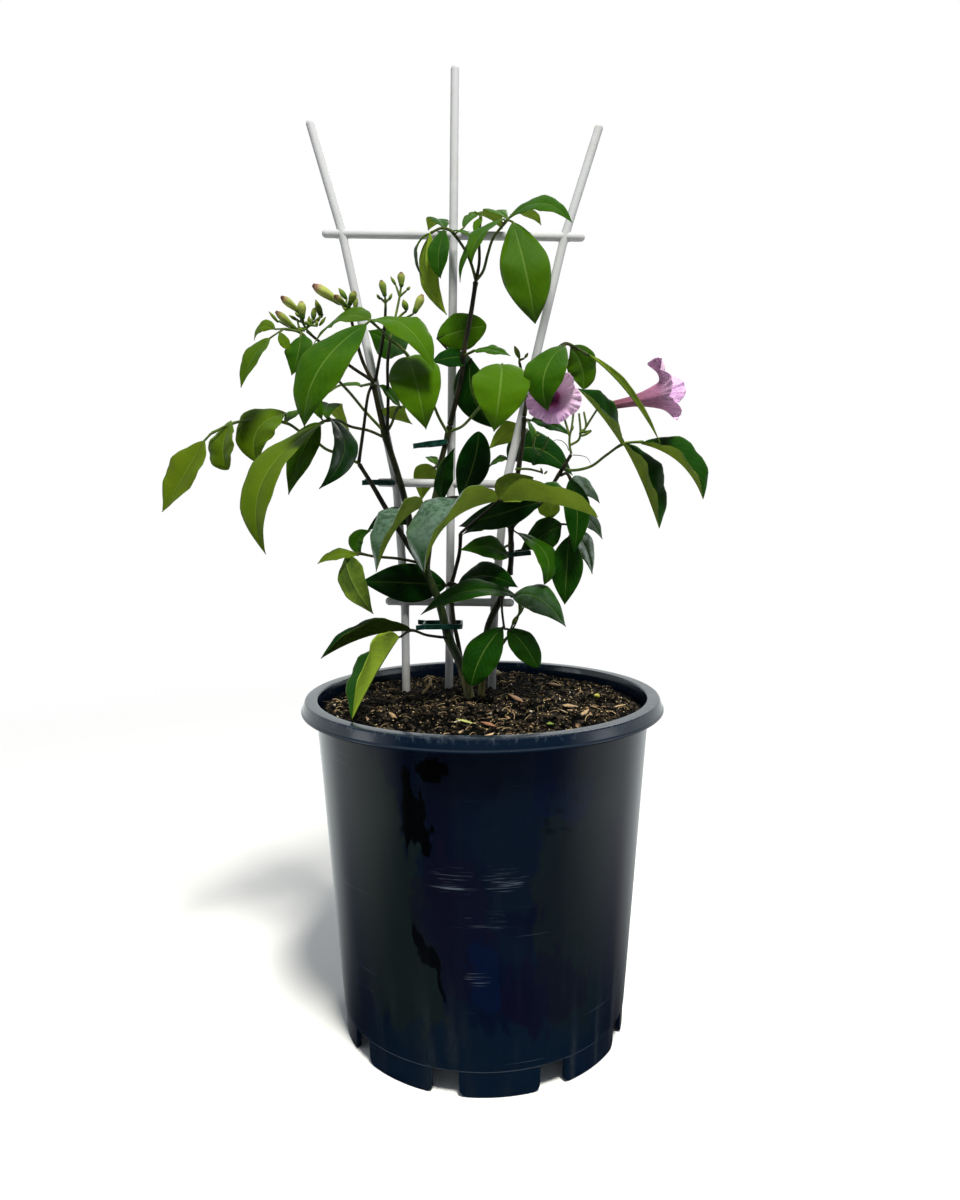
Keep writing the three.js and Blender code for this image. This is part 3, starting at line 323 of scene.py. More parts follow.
def makeCamera():
    lens = bpy.data.cameras.new("camera")
    lens.sensor_fit = "VERTICAL"
    lens.sensor_height = 36
    lens.lens = viewFrom["focal"] / viewFrom["imageHeight"] * lens.sensor_height
    lens.clip_start = 0.01
    camera = placeObject("camera", lens)
    camera.matrix_world = (
        Matrix.Translation(toFrame(viewFrom["place"])[0])
        @ turned(90 - viewFrom["down"], "X", 4) @ turned(viewFrom["roll"], "Z", 4)
    )
    bpy.context.scene.camera = camera


floorLook = dict(radius=1.4, sides=96, fadeFrom=0.3, fadeTo=1.1, colour=(0.88, 0.88, 0.87))


def makeFloor():
    material, start = newMaterial("paleFloor")
    away = start.node("ShaderNodeVectorMath", {"operation": "LENGTH"}, {0: spotOn(start)}, output="Value")
    shown = eased(away, floorLook["fadeFrom"], floorLook["fadeTo"], 1.0, 0.0)
    finishMaterial(start, {"Base Color": (*floorLook["colour"], 1), "Roughness": 0.85, "Alpha": shown,
                           "Specular IOR Level": 0.2})
    r, sides = floorLook["radius"], floorLook["sides"]
    angles = np.linspace(0, 2 * math.pi, sides, endpoint=False)
    mesh = bpy.data.meshes.new("floor")
    mesh.from_pydata([(math.cos(a) * r, math.sin(a) * r, 0) for a in angles], [], [list(range(sides))])
    mesh.materials.append(material)
    floor = placeObject("floor", mesh)
    floor.visible_glossy = False  # the pot's polish shows the softboxes and not the white ground


lamps = {  # where each lamp stands, the height on the axis that it aims at, its size, its power and its tint
    "key": dict(place=(0.26, -0.75, 1.8), aim=0.3, size=0.40, power=56, tint=(1.0, 0.98, 0.90)),
    "back": dict(place=(0.5, 1.3, 1.3), aim=0.35, size=0.6, power=6, tint=(1.0, 0.98, 0.92)),
    "leftStrip": dict(place=(-1.1, -0.35, 0.3), aim=0.15, size=0.4, power=1.2, tint=(0.9, 0.96, 1.0)),
    "rightStrip": dict(place=(1.1, -0.3, 0.3), aim=0.15, size=0.4, power=1.0, tint=(0.9, 0.96, 1.0)),
}
surround = dict(  # white behind, soft light all round, and in the gloss a dark room with a bright ceiling
    seen=(1.0, 1.0, 1.0), sky=(0.80, 0.86, 0.95), ground=(0.62, 0.60, 0.56), strength=0.34,
    ceiling=(0.85, 0.97, 1.0), room=(0.012, 0.015, 0.020), window=(1.0, 1.06, 1.06),
)


def makeLight():
    for name, lamp in lamps.items():
        light = bpy.data.lights.new(name, "AREA")
        light.shape = "DISK"
        light.size = lamp["size"]
        light.energy = lamp["power"]
        light.color = lamp["tint"]
        holder = placeObject(name, light)
        holder.location = lamp["place"]
        toAim = Vector((0, 0, lamp["aim"])) - Vector(lamp["place"])
        holder.rotation_euler = toAim.to_track_quat("-Z", "Y").to_euler()
        holder.visible_glossy = name != "key"  # the sheen comes from the ceiling and the softboxes
    world = bpy.data.worlds.new("studio")
    world.use_nodes = True
    world.node_tree.nodes.clear()
    start = Wire(world.node_tree)
    way = axesOf(start.node("ShaderNodeTexCoord", output="Generated"))
    up, aside = way.out("Z"), abs(way)
    tint = colourMix(eased(up, -0.2, 0.6), surround["ground"], surround["sky"])
    around = start.node("ShaderNodeBackground", {}, {"Color": tint, "Strength": surround["strength"]})
    mirrored = colourMix(eased(up, 0.25, 0.95), surround["room"], surround["ceiling"])
    level = eased(abs(up), 0.6, 0.3)
    mirrored = colourMix(eased(aside, 0.72, 0.92) * level, mirrored, surround["window"])
    mirrored = colourMix(eased(way.out("Y"), 0.26, 0.62) * level, mirrored, surround["window"])
    mirrored = start.node("ShaderNodeBackground", {}, {"Color": mirrored, "Strength": 1.0})
    seen = start.node("ShaderNodeBackground", {}, {"Color": (*surround["seen"], 1), "Strength": 1.0})
    ray = start.node("ShaderNodeLightPath", output="Is Camera Ray")
    sky = start.node("ShaderNodeMixShader", {}, {0: ray.out("Is Glossy Ray"), 1: around, 2: mirrored})
    sky = start.node("ShaderNodeMixShader", {}, {0: ray, 1: sky, 2: seen})
    start.node("ShaderNodeOutputWorld", {}, {"Surface": sky})
    bpy.context.scene.world = world
    bpy.context.scene.view_settings.view_transform = "Standard"


makeCamera()
makeFloor()
makeLight()
print("camera, floor and light are set")


# Pot: a glossy moulding with a turned-out rim, on a foot cut by drainage slots
potShape = dict(
    rimRadius=100, height=193.3, wall=1.7, rimWidth=6.4, flangeHeight=7, flangeRadius=102.7, topRadius=94.3,
    baseRadius=82.6, footRadius=81.7, skirtHeight=14.6, skirtWall=2.4, floorThickness=2.4,
    slots=9, slotWidth=14.7, firstSlot=-14.5, toeRadius=4.0, toeSteps=7, footSteps=12, columns=216,
)
potColour = dict(
    navy=(0.0006, 0.0026, 0.0122), slate=(0.0013, 0.0056, 0.0150), plum=(0.0030, 0.0024, 0.0115),
    green=(0.0044, 0.0092, 0.0098), deep=(0.0006, 0.0040, 0.0200), blue=(0.0016, 0.0070, 0.0170),
    black=(0.0002, 0.0003, 0.0006), wet=(0.0015, 0.003, 0.006), dust=(0.022, 0.030, 0.038),
    scuff=(0.16, 0.21, 0.27),
)
scuffs = [  # patches of fine level scratches on the front: across, height, half-width, half-height, strength
    (0.009, 0.1205, 0.014, 0.0080, 1.0), (-0.014, 0.1190, 0.017, 0.008, 0.45),
    (0.003, 0.0985, 0.014, 0.006, 0.40), (-0.003, 0.0670, 0.008, 0.005, 0.35),
]
reflectionAndWearFields = [  # upright fields of another dark, painted reflections of the surroundings and partly wear: across, height, half-width, half-height, lean, colour, share
    (-0.058, 0.115, 0.029, 0.095, -0.24, "green", 1.0), (0.018, 0.140, 0.018, 0.040, 0.05, "slate", 0.85),
    (0.052, 0.105, 0.026, 0.085, 0.05, "green", 0.70), (0.037, 0.168, 0.016, 0.022, -0.3, "deep", 0.6),
    (-0.014, 0.095, 0.019, 0.040, -0.15, "plum", 0.6), (0.002, 0.068, 0.0095, 0.020, -0.1, "deep", 0.9),
    (0.030, 0.055, 0.022, 0.022, 0.1, "plum", 0.6), (-0.033, 0.151, 0.0050, 0.021, -0.15, "black", 1.0),
    (-0.024, 0.175, 0.0060, 0.006, 0.0, "black", 1.0), (-0.026, 0.075, 0.0035, 0.020, -0.32, "black", 0.8),
    (0.000, 0.018, 0.080, 0.020, 0.0, "blue", 0.8),
]
blotches = dict(across=0.038, height=0.151, wide=0.015, high=0.014)


def potWall(height):  # the outer radius of the tapered wall
    s = potShape
    heights = [s["skirtHeight"], s["height"] - s["flangeHeight"]]
    return np.interp(height, heights, [s["baseRadius"], s["topRadius"]])


def potInside(height):
    return potWall(height) - potShape["wall"]


def makePotMaterial():
    material, start = newMaterial("glossyNavyPlastic")
    spot = spotOn(start)
    place = axesOf(spot)
    height, front = place.out("Z"), eased(place.out("Y"), -0.05, -0.07)
    c = potColour

    # broad upright bands of navy, slate, plum and green, painted reflections of the surroundings, with a thin
    # bloom of dust low down
    reflectionBands = cloudy(start, 16, 2, spot, (1, 1, 0.22), distortion=0.6)
    colour = ramp(reflectionBands, (0.28, c["green"]), (0.42, c["navy"]), (0.52, c["slate"]), (0.62, c["navy"]),
                  (0.72, c["plum"]))
    ragged = cloudy(start, 80, 5, spot, (1, 1, 0.6)) - 0.5
    frayed = cloudy(start, 170, 4, spot, (1, 1, 0.5)) - 0.5
    # painted reflections, with some wear, laid in ragged upright fields on the front
    for across, level, wide, high, tilt, name, share in reflectionAndWearFields:
        off = (place.out("X") + ragged * 0.030 - (across + potAxis[0]) - (height - level) * tilt) / wide
        field = off ** 2 + ((height + frayed * 0.030 - level) / high) ** 2 + frayed * 0.8
        colour = colourMix(eased(field, 1.08, 0.92) * front * share, colour, c[name])
    colour = colourMix(eased(height, 0.183, 0.188), colour, c["slate"])
    runs = cloudy(start, 85, 4, spot, (1, 1, 0.10))
    low = eased(height, 0.075, 0.015)
    dust = eased(runs, 0.50, 0.72) * (low * 0.30 + 0.05)
    colour = colourMix(dust, colour, c["dust"])

    # level scratches in patches, a few long hairlines, wear on the rim, and dark splashes
    hair = eased(cloudy(start, 60, 3, spot, (0.55, 0.55, 32.0)), 0.54, 0.66)
    hair = hair * eased(cloudy(start, 120, 4, spot, (0.6, 0.6, 1.5)), 0.38, 0.62)
    worn = 0
    for across, level, wide, high, strength in scuffs:
        off = abs(place.out("X") - (across + potAxis[0])) / wide
        away = abs(height - level) / high
        worn = eased(off ** 2 + away ** 2, 1.0, 0.25) * strength + worn
    worn = worn * hair * front
    hairlines = eased(cloudy(start, 34, 3, spot, (0.35, 0.35, 40.0)), 0.70, 0.74) * 0.16
    rimWear = eased(height, 0.1895, 0.1930)
    rimWear = rimWear * eased(cloudy(start, 420, 4, spot, (1, 1, 0.4)), 0.50, 0.70) * 0.14
    seam = eased(abs(height - potShape["skirtHeight"] * mm), 0.0006, 0.0001) * 0.25
    colour = colourMix(worn * 0.8 + hairlines + rimWear + seam, colour, c["scuff"])
    b = blotches
    off = (place.out("X") - (b["across"] + potAxis[0])) / b["wide"]
    near = eased(off ** 2 + ((height - b["height"]) / b["high"]) ** 2, 1.0, 0.4)
    wet = near * front * eased(cloudy(start, 170, 3, spot), 0.56, 0.60)
    colour = colourMix(wet * 0.85, colour, c["wet"])
    rough = 0.13 + dust * 0.5 + worn * 0.3 + rimWear * 0.4 + eased(reflectionBands, 0.35, 0.65) * 0.10
    bump = bumpFrom(cloudy(start, 22, 2, spot, (1, 1, 0.3)) + worn * 0.05, 0.0009, 0.35)
    finishMaterial(start, {"Base Color": colour, "Roughness": rough, "Normal": bump,
                           "Specular IOR Level": 0.34})
    return material


def turnedShell(profile, columns):  # a closed outline of radius and height, spun about the upright axis
    angles = np.linspace(0, 2 * math.pi, columns, endpoint=False)
    rows = len(profile)
    points = [(r * math.cos(a), r * math.sin(a), z) for r, z in profile for a in angles]
    faces = []
    for i in range(rows):
        j = (i + 1) % rows
        for k in range(columns):
            n = (k + 1) % columns
            faces.append((i * columns + k, i * columns + n, j * columns + n, j * columns + k))
    return points, faces


def roundedProfile(corners):  # corners are radius, height and the size of the rounding there
    outline = []
    count = len(corners)
    for i, (r, z, rounding) in enumerate(corners):
        here = Vector((r, z))
        before = Vector(corners[i - 1][:2]) - here
        after = Vector(corners[(i + 1) % count][:2]) - here
        if rounding == 0:
            outline.append((r, z))
            continue
        a, b = here + before.normalized() * rounding, here + after.normalized() * rounding
        for t in (0, 0.17, 0.38, 0.62, 0.83, 1):
            p = a * (1 - t) ** 2 + here * 2 * t * (1 - t) + b * t * t
            outline.append((p.x, p.y))
    return outline


def makePot():
    s = potShape
    under = s["height"] - s["flangeHeight"]
    floorTop = s["skirtHeight"] + s["floorThickness"]
    outline = roundedProfile([
        (1.0, s["skirtHeight"], 0), (60, s["skirtHeight"], 0), (s["baseRadius"], s["skirtHeight"], 0.35),
        (potWall(60), 60, 0), (potWall(110), 110, 0), (potWall(150), 150, 0),
        (s["topRadius"], under - 0.4, 1.2),
        (s["flangeRadius"] - 0.8, under - 0.2, 0.5), (s["flangeRadius"], under + 0.2, 0.4),
        (s["flangeRadius"], under + 1.1, 0.4), (s["flangeRadius"] - 0.7, under + 1.7, 0.4),
        (s["rimRadius"] + 0.4, s["height"], 0.9), (s["rimRadius"] - s["rimWidth"], s["height"], 0.8),
        (s["rimRadius"] - s["rimWidth"] - 0.7, s["height"] - 3.5, 0.6),
        (s["topRadius"] - s["wall"], under - 3, 0.6), (potInside(90), 90, 0),
        (potInside(floorTop), floorTop, 0.8),
        (60, floorTop, 0), (1.0, floorTop, 0),
    ])
    points, faces = turnedShell(outline, s["columns"])

    # the feet between the slots, with rounded toes
    pitch = 360 / s["slots"]
    halfSlot = math.degrees(s["slotWidth"] / 2 / s["footRadius"])
    toe = math.degrees(s["toeRadius"] / s["footRadius"])
    top = s["skirtHeight"] + 0.05
    for k in range(s["slots"]):
        low = s["firstSlot"] - 90 + pitch * k + halfSlot
        high = low + pitch - 2 * halfSlot
        ease = [toe * (1 - math.cos(math.radians(a))) for a in np.linspace(0, 90, s["toeSteps"])]
        angles = [low + e for e in ease] + list(np.linspace(low + toe, high - toe, s["footSteps"])[1:-1])
        angles += [high - e for e in reversed(ease)]
        columns = []
        for a in angles:
            edge = min(a - low, high - a, toe) / toe
            foot = s["toeRadius"] * (1 - math.sqrt(max(0, 1 - (1 - edge) ** 2)))
            heights = [foot, foot + 0.5, (foot + top) / 2, top - 0.8, top]
            radii = [s["footRadius"], s["baseRadius"] - 0.35]
            outers = [np.interp(z, [0, s["skirtHeight"]], radii) for z in heights]
            outers[0] = s["footRadius"] - 0.45  # the lower edges are eased, outside and in
            inners = [r - s["skirtWall"] for r in outers]
            inners[0] += 0.5
            ring = [*zip(outers, heights), *reversed(list(zip(inners, heights)))]
            across, deep = math.cos(math.radians(a)), math.sin(math.radians(a))
            columns.append([(r * across, r * deep, z) for r, z in ring])
        first, count = len(points), len(columns[0])
        for ring in columns:
            points += ring
        faces += bandFaces(first, len(columns), count)
        faces.append(tuple(first + j for j in range(count)))
        faces.append(tuple(first + (len(columns) - 1) * count + j for j in reversed(range(count))))
    pot = newPiece("nurseryPot", points, faces, makePotMaterial())
    pot.data.set_sharp_from_angle(angle=math.radians(38))
    settle(pot, "pot", "pot")


makePot()
print("pot is made")

# Soil: a rough bed of mix, with crumbs, bark chips, perlite and root fibres scattered over it
soilShape = dict(level=187.3, bump=1.3, bottom=17.3, gap=1.2, sideGap=1.0, sideHeights=(170, 100), rings=64,
                 sectors=200, grain=1.5, bareEdge=1.5)
scatterLook = {  # seeds per square metre, least and greatest length in mm, width and height as shares of it
    "crumb": dict(density=120000, short=0.8, long=3.6, wide=0.75, high=0.7, seed=3, lift=0.14, faceted=True),
    "speck": dict(density=34000, short=0.4, long=1.5, wide=0.55, high=0.45, seed=7, lift=0.8, faceted=True),
    "bark": dict(density=6500, short=1.6, long=6.5, wide=0.42, high=0.26, seed=11, lift=0.26, faceted=True),
    "chip": dict(density=900, short=5.0, long=11.0, wide=0.30, high=0.16, seed=17, lift=0.24, faceted=True),
    "perlite": dict(density=900, short=0.8, long=2.0, wide=0.85, high=0.75, seed=23, lift=0.4, faceted=True),
    "fibre": dict(density=9500, short=2.5, long=9.0, wide=0.04, high=0.04, seed=31, lift=0.34, faceted=False),
}
litter = {  # bits loose on the mix: across and depth, then length, width and height, turn and tilt in degrees
    "sliver": dict(at=(-9, -50), size=(10, 3.2, 1.0), turn=-15, tilt=12, colour=(0.42, 0.46, 0.14)),
    "sliverSkin": dict(at=(-13, -47.5), size=(6, 2.2, 0.8), turn=25, tilt=-8, colour=(0.70, 0.66, 0.46)),
    "paleLeaf": dict(at=(44, -30), size=(8, 5.5, 0.9), turn=30, tilt=28, colour=(0.46, 0.35, 0.20)),
    "seedOval": dict(at=(67, 6), size=(7, 3.6, 3.2), turn=80, tilt=15, colour=(0.42, 0.40, 0.06)),
    "greenBit": dict(at=(35, -53), size=(4.2, 2.6, 1.4), turn=10, tilt=5, colour=(0.20, 0.30, 0.05)),
    "redChip": dict(at=(3, -56), size=(9, 4.2, 1.6), turn=-25, tilt=10, colour=(0.26, 0.12, 0.06)),
    "stone": dict(at=(10, 72), size=(6.5, 5, 3.5), turn=0, tilt=0, colour=(0.50, 0.42, 0.26)),
    "barkSlab": dict(at=(20, -2), size=(12, 4.5, 1.8), turn=-35, tilt=18, colour=(0.24, 0.14, 0.08)),
    "barkSlabBack": dict(at=(45, 45), size=(11, 4.8, 2), turn=20, tilt=14, colour=(0.25, 0.15, 0.09)),
    "tanChip": dict(at=(62, -22), size=(10, 3.2, 1.6), turn=65, tilt=18, colour=(0.38, 0.25, 0.13)),
    "tanChipLeft": dict(at=(-48, -38), size=(8, 2.8, 1.4), turn=-50, tilt=16, colour=(0.32, 0.21, 0.11)),
}
curledRoot = dict(through=[(-36, 20, 188), (-33, 22, 191), (-31, 25, 195), (-32, 29, 196), (-35, 31, 193),
                           (-33, 34, 189)], thick=0.9, thin=0.5)


soilSkins = {  # each material's name, its dark and its light end, and its roughness
    "soil": ("dampPottingMix", (0.0004, 0.0004, 0.0003), (0.007, 0.006, 0.0045), 0.85),
    "crumb": ("darkCrumb", (0.0005, 0.0005, 0.0004), (0.038, 0.030, 0.022), 0.75),
    "speck": ("goldenSpeck", (0.08, 0.055, 0.022), (0.56, 0.42, 0.21), 0.7),
    "bark": ("barkCrumb", (0.004, 0.003, 0.002), (0.27, 0.175, 0.095), 0.7),
    "chip": ("barkChip", (0.020, 0.013, 0.008), (0.44, 0.31, 0.18), 0.7),
    "perlite": ("perliteGrain", (0.10, 0.08, 0.05), (0.62, 0.58, 0.48), 0.8),
    "fibre": ("rootFibre", (0.03, 0.02, 0.010), (0.42, 0.30, 0.16), 0.75),
}
paleRootSkin = ("paleRoot", (0.30, 0.22, 0.12), (0.55, 0.44, 0.28), 0.7)


def makeSoilMaterial(name, dark, light, rough):
    material, start = newMaterial(name)
    shade = attributeOf(start, "shade")
    grain = cloudy(start, 900, 4)
    patch = cloudy(start, 90, 3)
    amount = eased(shade * 0.6 + grain * 0.45 + patch * 0.25, 0.35, 0.95)
    bump = bumpFrom(grain, 0.0008, 0.8)
    finishMaterial(start, {"Base Color": colourMix(amount, dark, light), "Roughness": rough, "Normal": bump,
                           "Specular IOR Level": 0.06})
    return material


def soilReach():  # the radius of the mix's surface
    return potInside(soilShape["level"]) - soilShape["gap"]


def soilHeight(x, y):
    s = soilShape
    r, a = math.hypot(x, y) / soilReach(), math.atan2(y, x)
    waves = 0.6 * math.sin(3 * a + 5 * r) + 0.4 * math.sin(7 * a - 9 * r) - r * r
    lumps = noise.fractal((x / 9, y / 9, 0.3), 0.8, 2.1, 5) + 0.6 * noise.noise((x / 3.1, y / 3.1, 7))
    return s["level"] + s["bump"] * waves + s["grain"] * lumps


def scatterTree(faceted):
    tree, given = newGeometryTree(
        "scatterOverSoil", Bed="Geometry", Density="Float", Seed="Int", Short="Float", Long="Float",
        Wide="Float", High="Float", Lift="Float", Skin="Material")
    seed = given.out("Seed")
    where = given.node("GeometryNodeDistributePointsOnFaces", {},
                       {"Mesh": given.out("Bed"), "Density": given.out("Density"), "Seed": seed})

    def random(low, high, kind="FLOAT", shift=0):
        wanted = {"Seed": seed.math("ADD", seed, shift)}
        wanted.update({"Min": low, "Max": high} if kind == "FLOAT_VECTOR" else {2: low, 3: high})
        out = 0 if kind == "FLOAT_VECTOR" else 1
        return given.node("FunctionNodeRandomValue", {"data_type": kind}, wanted, output=out)

    if faceted:
        bit = given.node("GeometryNodeMeshIcoSphere", {}, {"Radius": 0.5, "Subdivisions": 1})
        dent = random((-0.16, -0.16, -0.16), (0.16, 0.16, 0.16), "FLOAT_VECTOR", 40)
        bit = given.node("GeometryNodeSetPosition", {}, {"Geometry": bit, "Offset": dent})
    else:
        bow = given.node("GeometryNodeCurveQuadraticBezier", {}, {
            "Resolution": 6, "Start": (-0.5, 0, 0), "Middle": (0, 0.24, 0.3), "End": (0.5, 0, -0.1)})
        ring = given.node("GeometryNodeCurvePrimitiveCircle", {}, {"Resolution": 3, "Radius": 0.5})
        bit = given.node("GeometryNodeCurveToMesh", {},
                         {"Curve": bow, "Profile Curve": given.node("GeometryNodeTransform", {}, {
                             "Geometry": ring, "Scale": (0.055, 0.055, 0.055)}), "Fill Caps": True})
    length = random(given.out("Short"), given.out("Long"), shift=7)
    wide = given.out("Wide") if faceted else 1.0
    high = given.out("High") if faceted else 1.0
    size = given.node("ShaderNodeCombineXYZ", {}, {
        0: length, 1: length.math("MULTIPLY", length, wide), 2: length.math("MULTIPLY", length, high)})
    tilt = random((-0.5, -0.5, 0), (0.5, 0.5, 6.28), "FLOAT_VECTOR", 13)
    bits = given.node("GeometryNodeInstanceOnPoints", {}, {
        "Points": where, "Instance": bit, "Scale": size, "Rotation": tilt})
    bits = given.node("GeometryNodeStoreNamedAttribute", {"data_type": "FLOAT", "domain": "INSTANCE"}, {
        "Geometry": bits, "Name": "shade", "Value": random(0.0, 1.0, shift=21)})
    bits = given.node("GeometryNodeRealizeInstances", {}, {"Geometry": bits})
    raised = given.node("ShaderNodeCombineXYZ", {}, {2: length.math("MULTIPLY", given.out("Lift"), 0.001)})
    bits = given.node("GeometryNodeSetPosition", {}, {"Geometry": bits, "Offset": raised})
    bits = given.node("GeometryNodeSetMaterial", {}, {"Geometry": bits, "Material": given.out("Skin")})
    given.node("NodeGroupOutput", {}, {"Result": bits})
    return tree


def makeSoil():
    s = soilShape
    reach, count = soilReach(), s["sectors"]
    around = [(math.cos(a), math.sin(a)) for a in np.linspace(0, 2 * math.pi, count, endpoint=False)]
    bedPoints = [(0, 0, soilHeight(0, 0))]
    for r in reach * np.linspace(0, 1, s["rings"] + 1)[1:]:
        bedPoints += [(r * x, r * y, soilHeight(r * x, r * y)) for x, y in around]
    topFaces = [(0, 1 + k, 1 + (k + 1) % count) for k in range(count)] + bandFaces(1, s["rings"], count)

    # the sides and the flat underside
    points = list(bedPoints)
    for z in (*s["sideHeights"], s["bottom"]):
        r = potInside(z) - s["sideGap"]
        points += [(r * x, r * y, z) for x, y in around]
    last = len(points) - count
    faces = topFaces + bandFaces(len(bedPoints) - count, 4, count)
    faces.append([last + k for k in reversed(range(count))])
    skins = {name: makeSoilMaterial(*skin) for name, skin in soilSkins.items()}
    bed = newPiece("soilBed", points, faces, skins["soil"])
    settle(bed, "soil", "soil")
    for name, look in scatterLook.items():
        inner = [f for f in topFaces if all(math.hypot(*bedPoints[i][:2]) < reach - s["bareEdge"] for i in f)]
        bits = newPiece(f"soil{name.capitalize()}", bedPoints, inner, skins[name])
        runTree(bits, scatterTree(look["faceted"]), {
            "Density": float(look["density"]), "Seed": look["seed"], "Short": look["short"] * mm,
            "Long": look["long"] * mm, "Wide": look["wide"], "High": look["high"], "Lift": look["lift"],
            "Skin": skins[name]})
        settle(bits, "soil", "soil")
    makeLitter()


def makeLitter():  # listed bits, each a dented lozenge, and one pale root that curls out of the mix
    material, start = newMaterial("looseLitter")
    tint = start.node("ShaderNodeAttribute", {"attribute_name": "tint"}, output="Color")
    grain = cloudy(start, 700, 3)
    colour = colourMix(eased(grain, 0.35, 0.7) * 0.45, tint, (0.05, 0.03, 0.015))
    finishMaterial(start, {"Base Color": colour, "Roughness": 0.6 + grain * 0.1,
                           "Normal": bumpFrom(grain, 0.0004)})
    points, faces, tints = [], [], []
    around, along = 10, (0.12, 0.5, 0.85, 1.0, 0.85, 0.5, 0.12)
    for count, bit in enumerate(litter.values()):
        draw = random.Random(count)
        long, wide, high = bit["size"]
        turn = turned(bit["turn"], "Z") @ turned(bit["tilt"], "Y")
        x, y = bit["at"]
        centre = Vector((x, y, soilHeight(x, y) + high * 0.5 + 0.8))
        first = len(points)
        for i, share in enumerate(along):
            for k in range(around):
                a = 2 * math.pi * k / around
                r = share * draw.uniform(0.82, 1.1)
                section = (math.cos(a) * r * wide / 2, math.sin(a) * r * high / 2)
                points.append(centre + turn @ Vector(((i / (len(along) - 1) - 0.5) * long, *section)))
        faces += bandFaces(first, len(along), around)
        faces.append([first + k for k in range(around)])
        faces.append([first + (len(along) - 1) * around + k for k in reversed(range(around))])
        tints += [bit["colour"]] * (around * len(along))
    piece = newPiece("soilLitter", points, faces, material)
    piece.data.attributes.new("tint", "FLOAT_COLOR", "POINT").data.foreach_set(
        "color", np.array([(*t, 1) for t in tints], np.float32).ravel())
    settle(piece, "soil", "soil")
    path = smoothPath(curledRoot["through"], 8)
    girths = list(np.linspace(curledRoot["thick"], curledRoot["thin"], len(path)))
    root = rods("soilCurledRoot", [domed(path, girths)], makeSoilMaterial(*paleRootSkin), 8)
    settle(root, "soil", "soil")


makeSoil()
print("soil is laid")

# Trellis: three fanned uprights and three crossbars of round rod, with a small bead where they cross
trellisShape = dict(
    foot=(-20.5, 38, 187.3), lean=1.17, fan=[(-86, 25), (54, 27.5), (126, 33), (270, 65), (333, 84)],
    centreTop=364, bars=[54, 126, 270], overhang=12, radius=2.5, bead=0.42, beadReach=2.6, step=2.5, sides=20,
)
trellisColour = dict(clean=(0.42, 0.43, 0.45), grimy=(0.29, 0.27, 0.22))


def nearness(point, centres, reach):  # 1 at any of the centres, and less with distance
    return max([math.exp(-((point - c).length / reach) ** 2) for c in centres] or [0])


def makeTrellisMaterial():
    material, start = newMaterial("whiteTrellisPlastic")
    height = axesOf(spotOn(start)).out("Z")
    grime = eased(cloudy(start, 45, 4), 0.5, 0.75) * 0.25 + eased(height, 0.215, 0.187) * 0.35
    colour = colourMix(grime, trellisColour["clean"], trellisColour["grimy"])
    bump = bumpFrom(cloudy(start, 260, 3), 0.0003, 0.4)
    finishMaterial(start, {"Base Color": colour, "Roughness": 0.34 + grime * 0.4, "Normal": bump,
                           "Specular IOR Level": 0.06})
    return material


def makeTrellis():
    s = trellisShape
    lean = math.radians(s["lean"])
    fx, fy, fz = s["foot"]

    def at(across, height):
        return Vector((fx + across * math.cos(lean) + height * math.sin(lean), fy,
                       fz + height * math.cos(lean) - across * math.sin(lean)))

    heights = [h for h, w in s["fan"]]
    widthAt = lambda h: float(np.interp(h, heights, [w for _, w in s["fan"]]))
    r = s["radius"]
    routes = []

    def along(points, bulges):
        path = [points[0]]
        for a, b in zip(points, points[1:]):
            steps = max(1, int((b - a).length / s["step"]))
            path += [a.lerp(b, k / steps) for k in range(1, steps + 1)]
        return domed(path, [r + s["bead"] * nearness(p, bulges, s["beadReach"]) for p in path])

    crossings = [at(side * widthAt(h), h) for h in s["bars"] for side in (-1, 0, 1)]
    routes.append(along([at(0, heights[0]), at(0, s["centreTop"])], crossings))
    for side in (-1, 1):
        routes.append(along([at(side * w, h) for h, w in s["fan"]], crossings))
    for h in s["bars"]:
        reach = widthAt(h) + s["overhang"]
        routes.append(along([at(-reach, h), at(reach, h)], crossings))
    trellis = rods("fanTrellis", routes, makeTrellisMaterial(), s["sides"])
    settle(trellis, "trellis", "trellis")


makeTrellis()
print("trellis is set")

# Ties: flat dark green bands round an upright and the cane before it, with two short tails
ties = {
    "tie-left": dict(at=(-58, 34.5, 314), wide=13, deep=13, tail=-6, lean=-2),
    "tie-centre": dict(at=(-26, 34.5, 337), wide=14, deep=13, tail=-7, lean=6),
    "tie-low": dict(at=(-23.5, 32.3, 228), wide=24, deep=19.6, tail=-4, lean=0),
    "tie-right": dict(at=(14, 34.5, 270), wide=14, deep=14, tail=9, lean=8),
}
tieShape = dict(height=3.2, thickness=1.2, corner=2.2, steps=6, tailShare=0.94, softEdge=0.25)
tieColour = dict(dark=(0.002, 0.020, 0.015), light=(0.007, 0.045, 0.034))


def makeTieMaterial():
    material, start = newMaterial("darkGreenTie")
    rough = cloudy(start, 240, 3)
    colour = colourMix(eased(rough, 0.4, 0.7), tieColour["dark"], tieColour["light"])
    finishMaterial(start, {"Base Color": colour, "Roughness": 0.38 + rough * 0.15, "Specular IOR Level": 0.3,
                           "Normal": bumpFrom(rough, 0.0003, 0.5)})
    return material


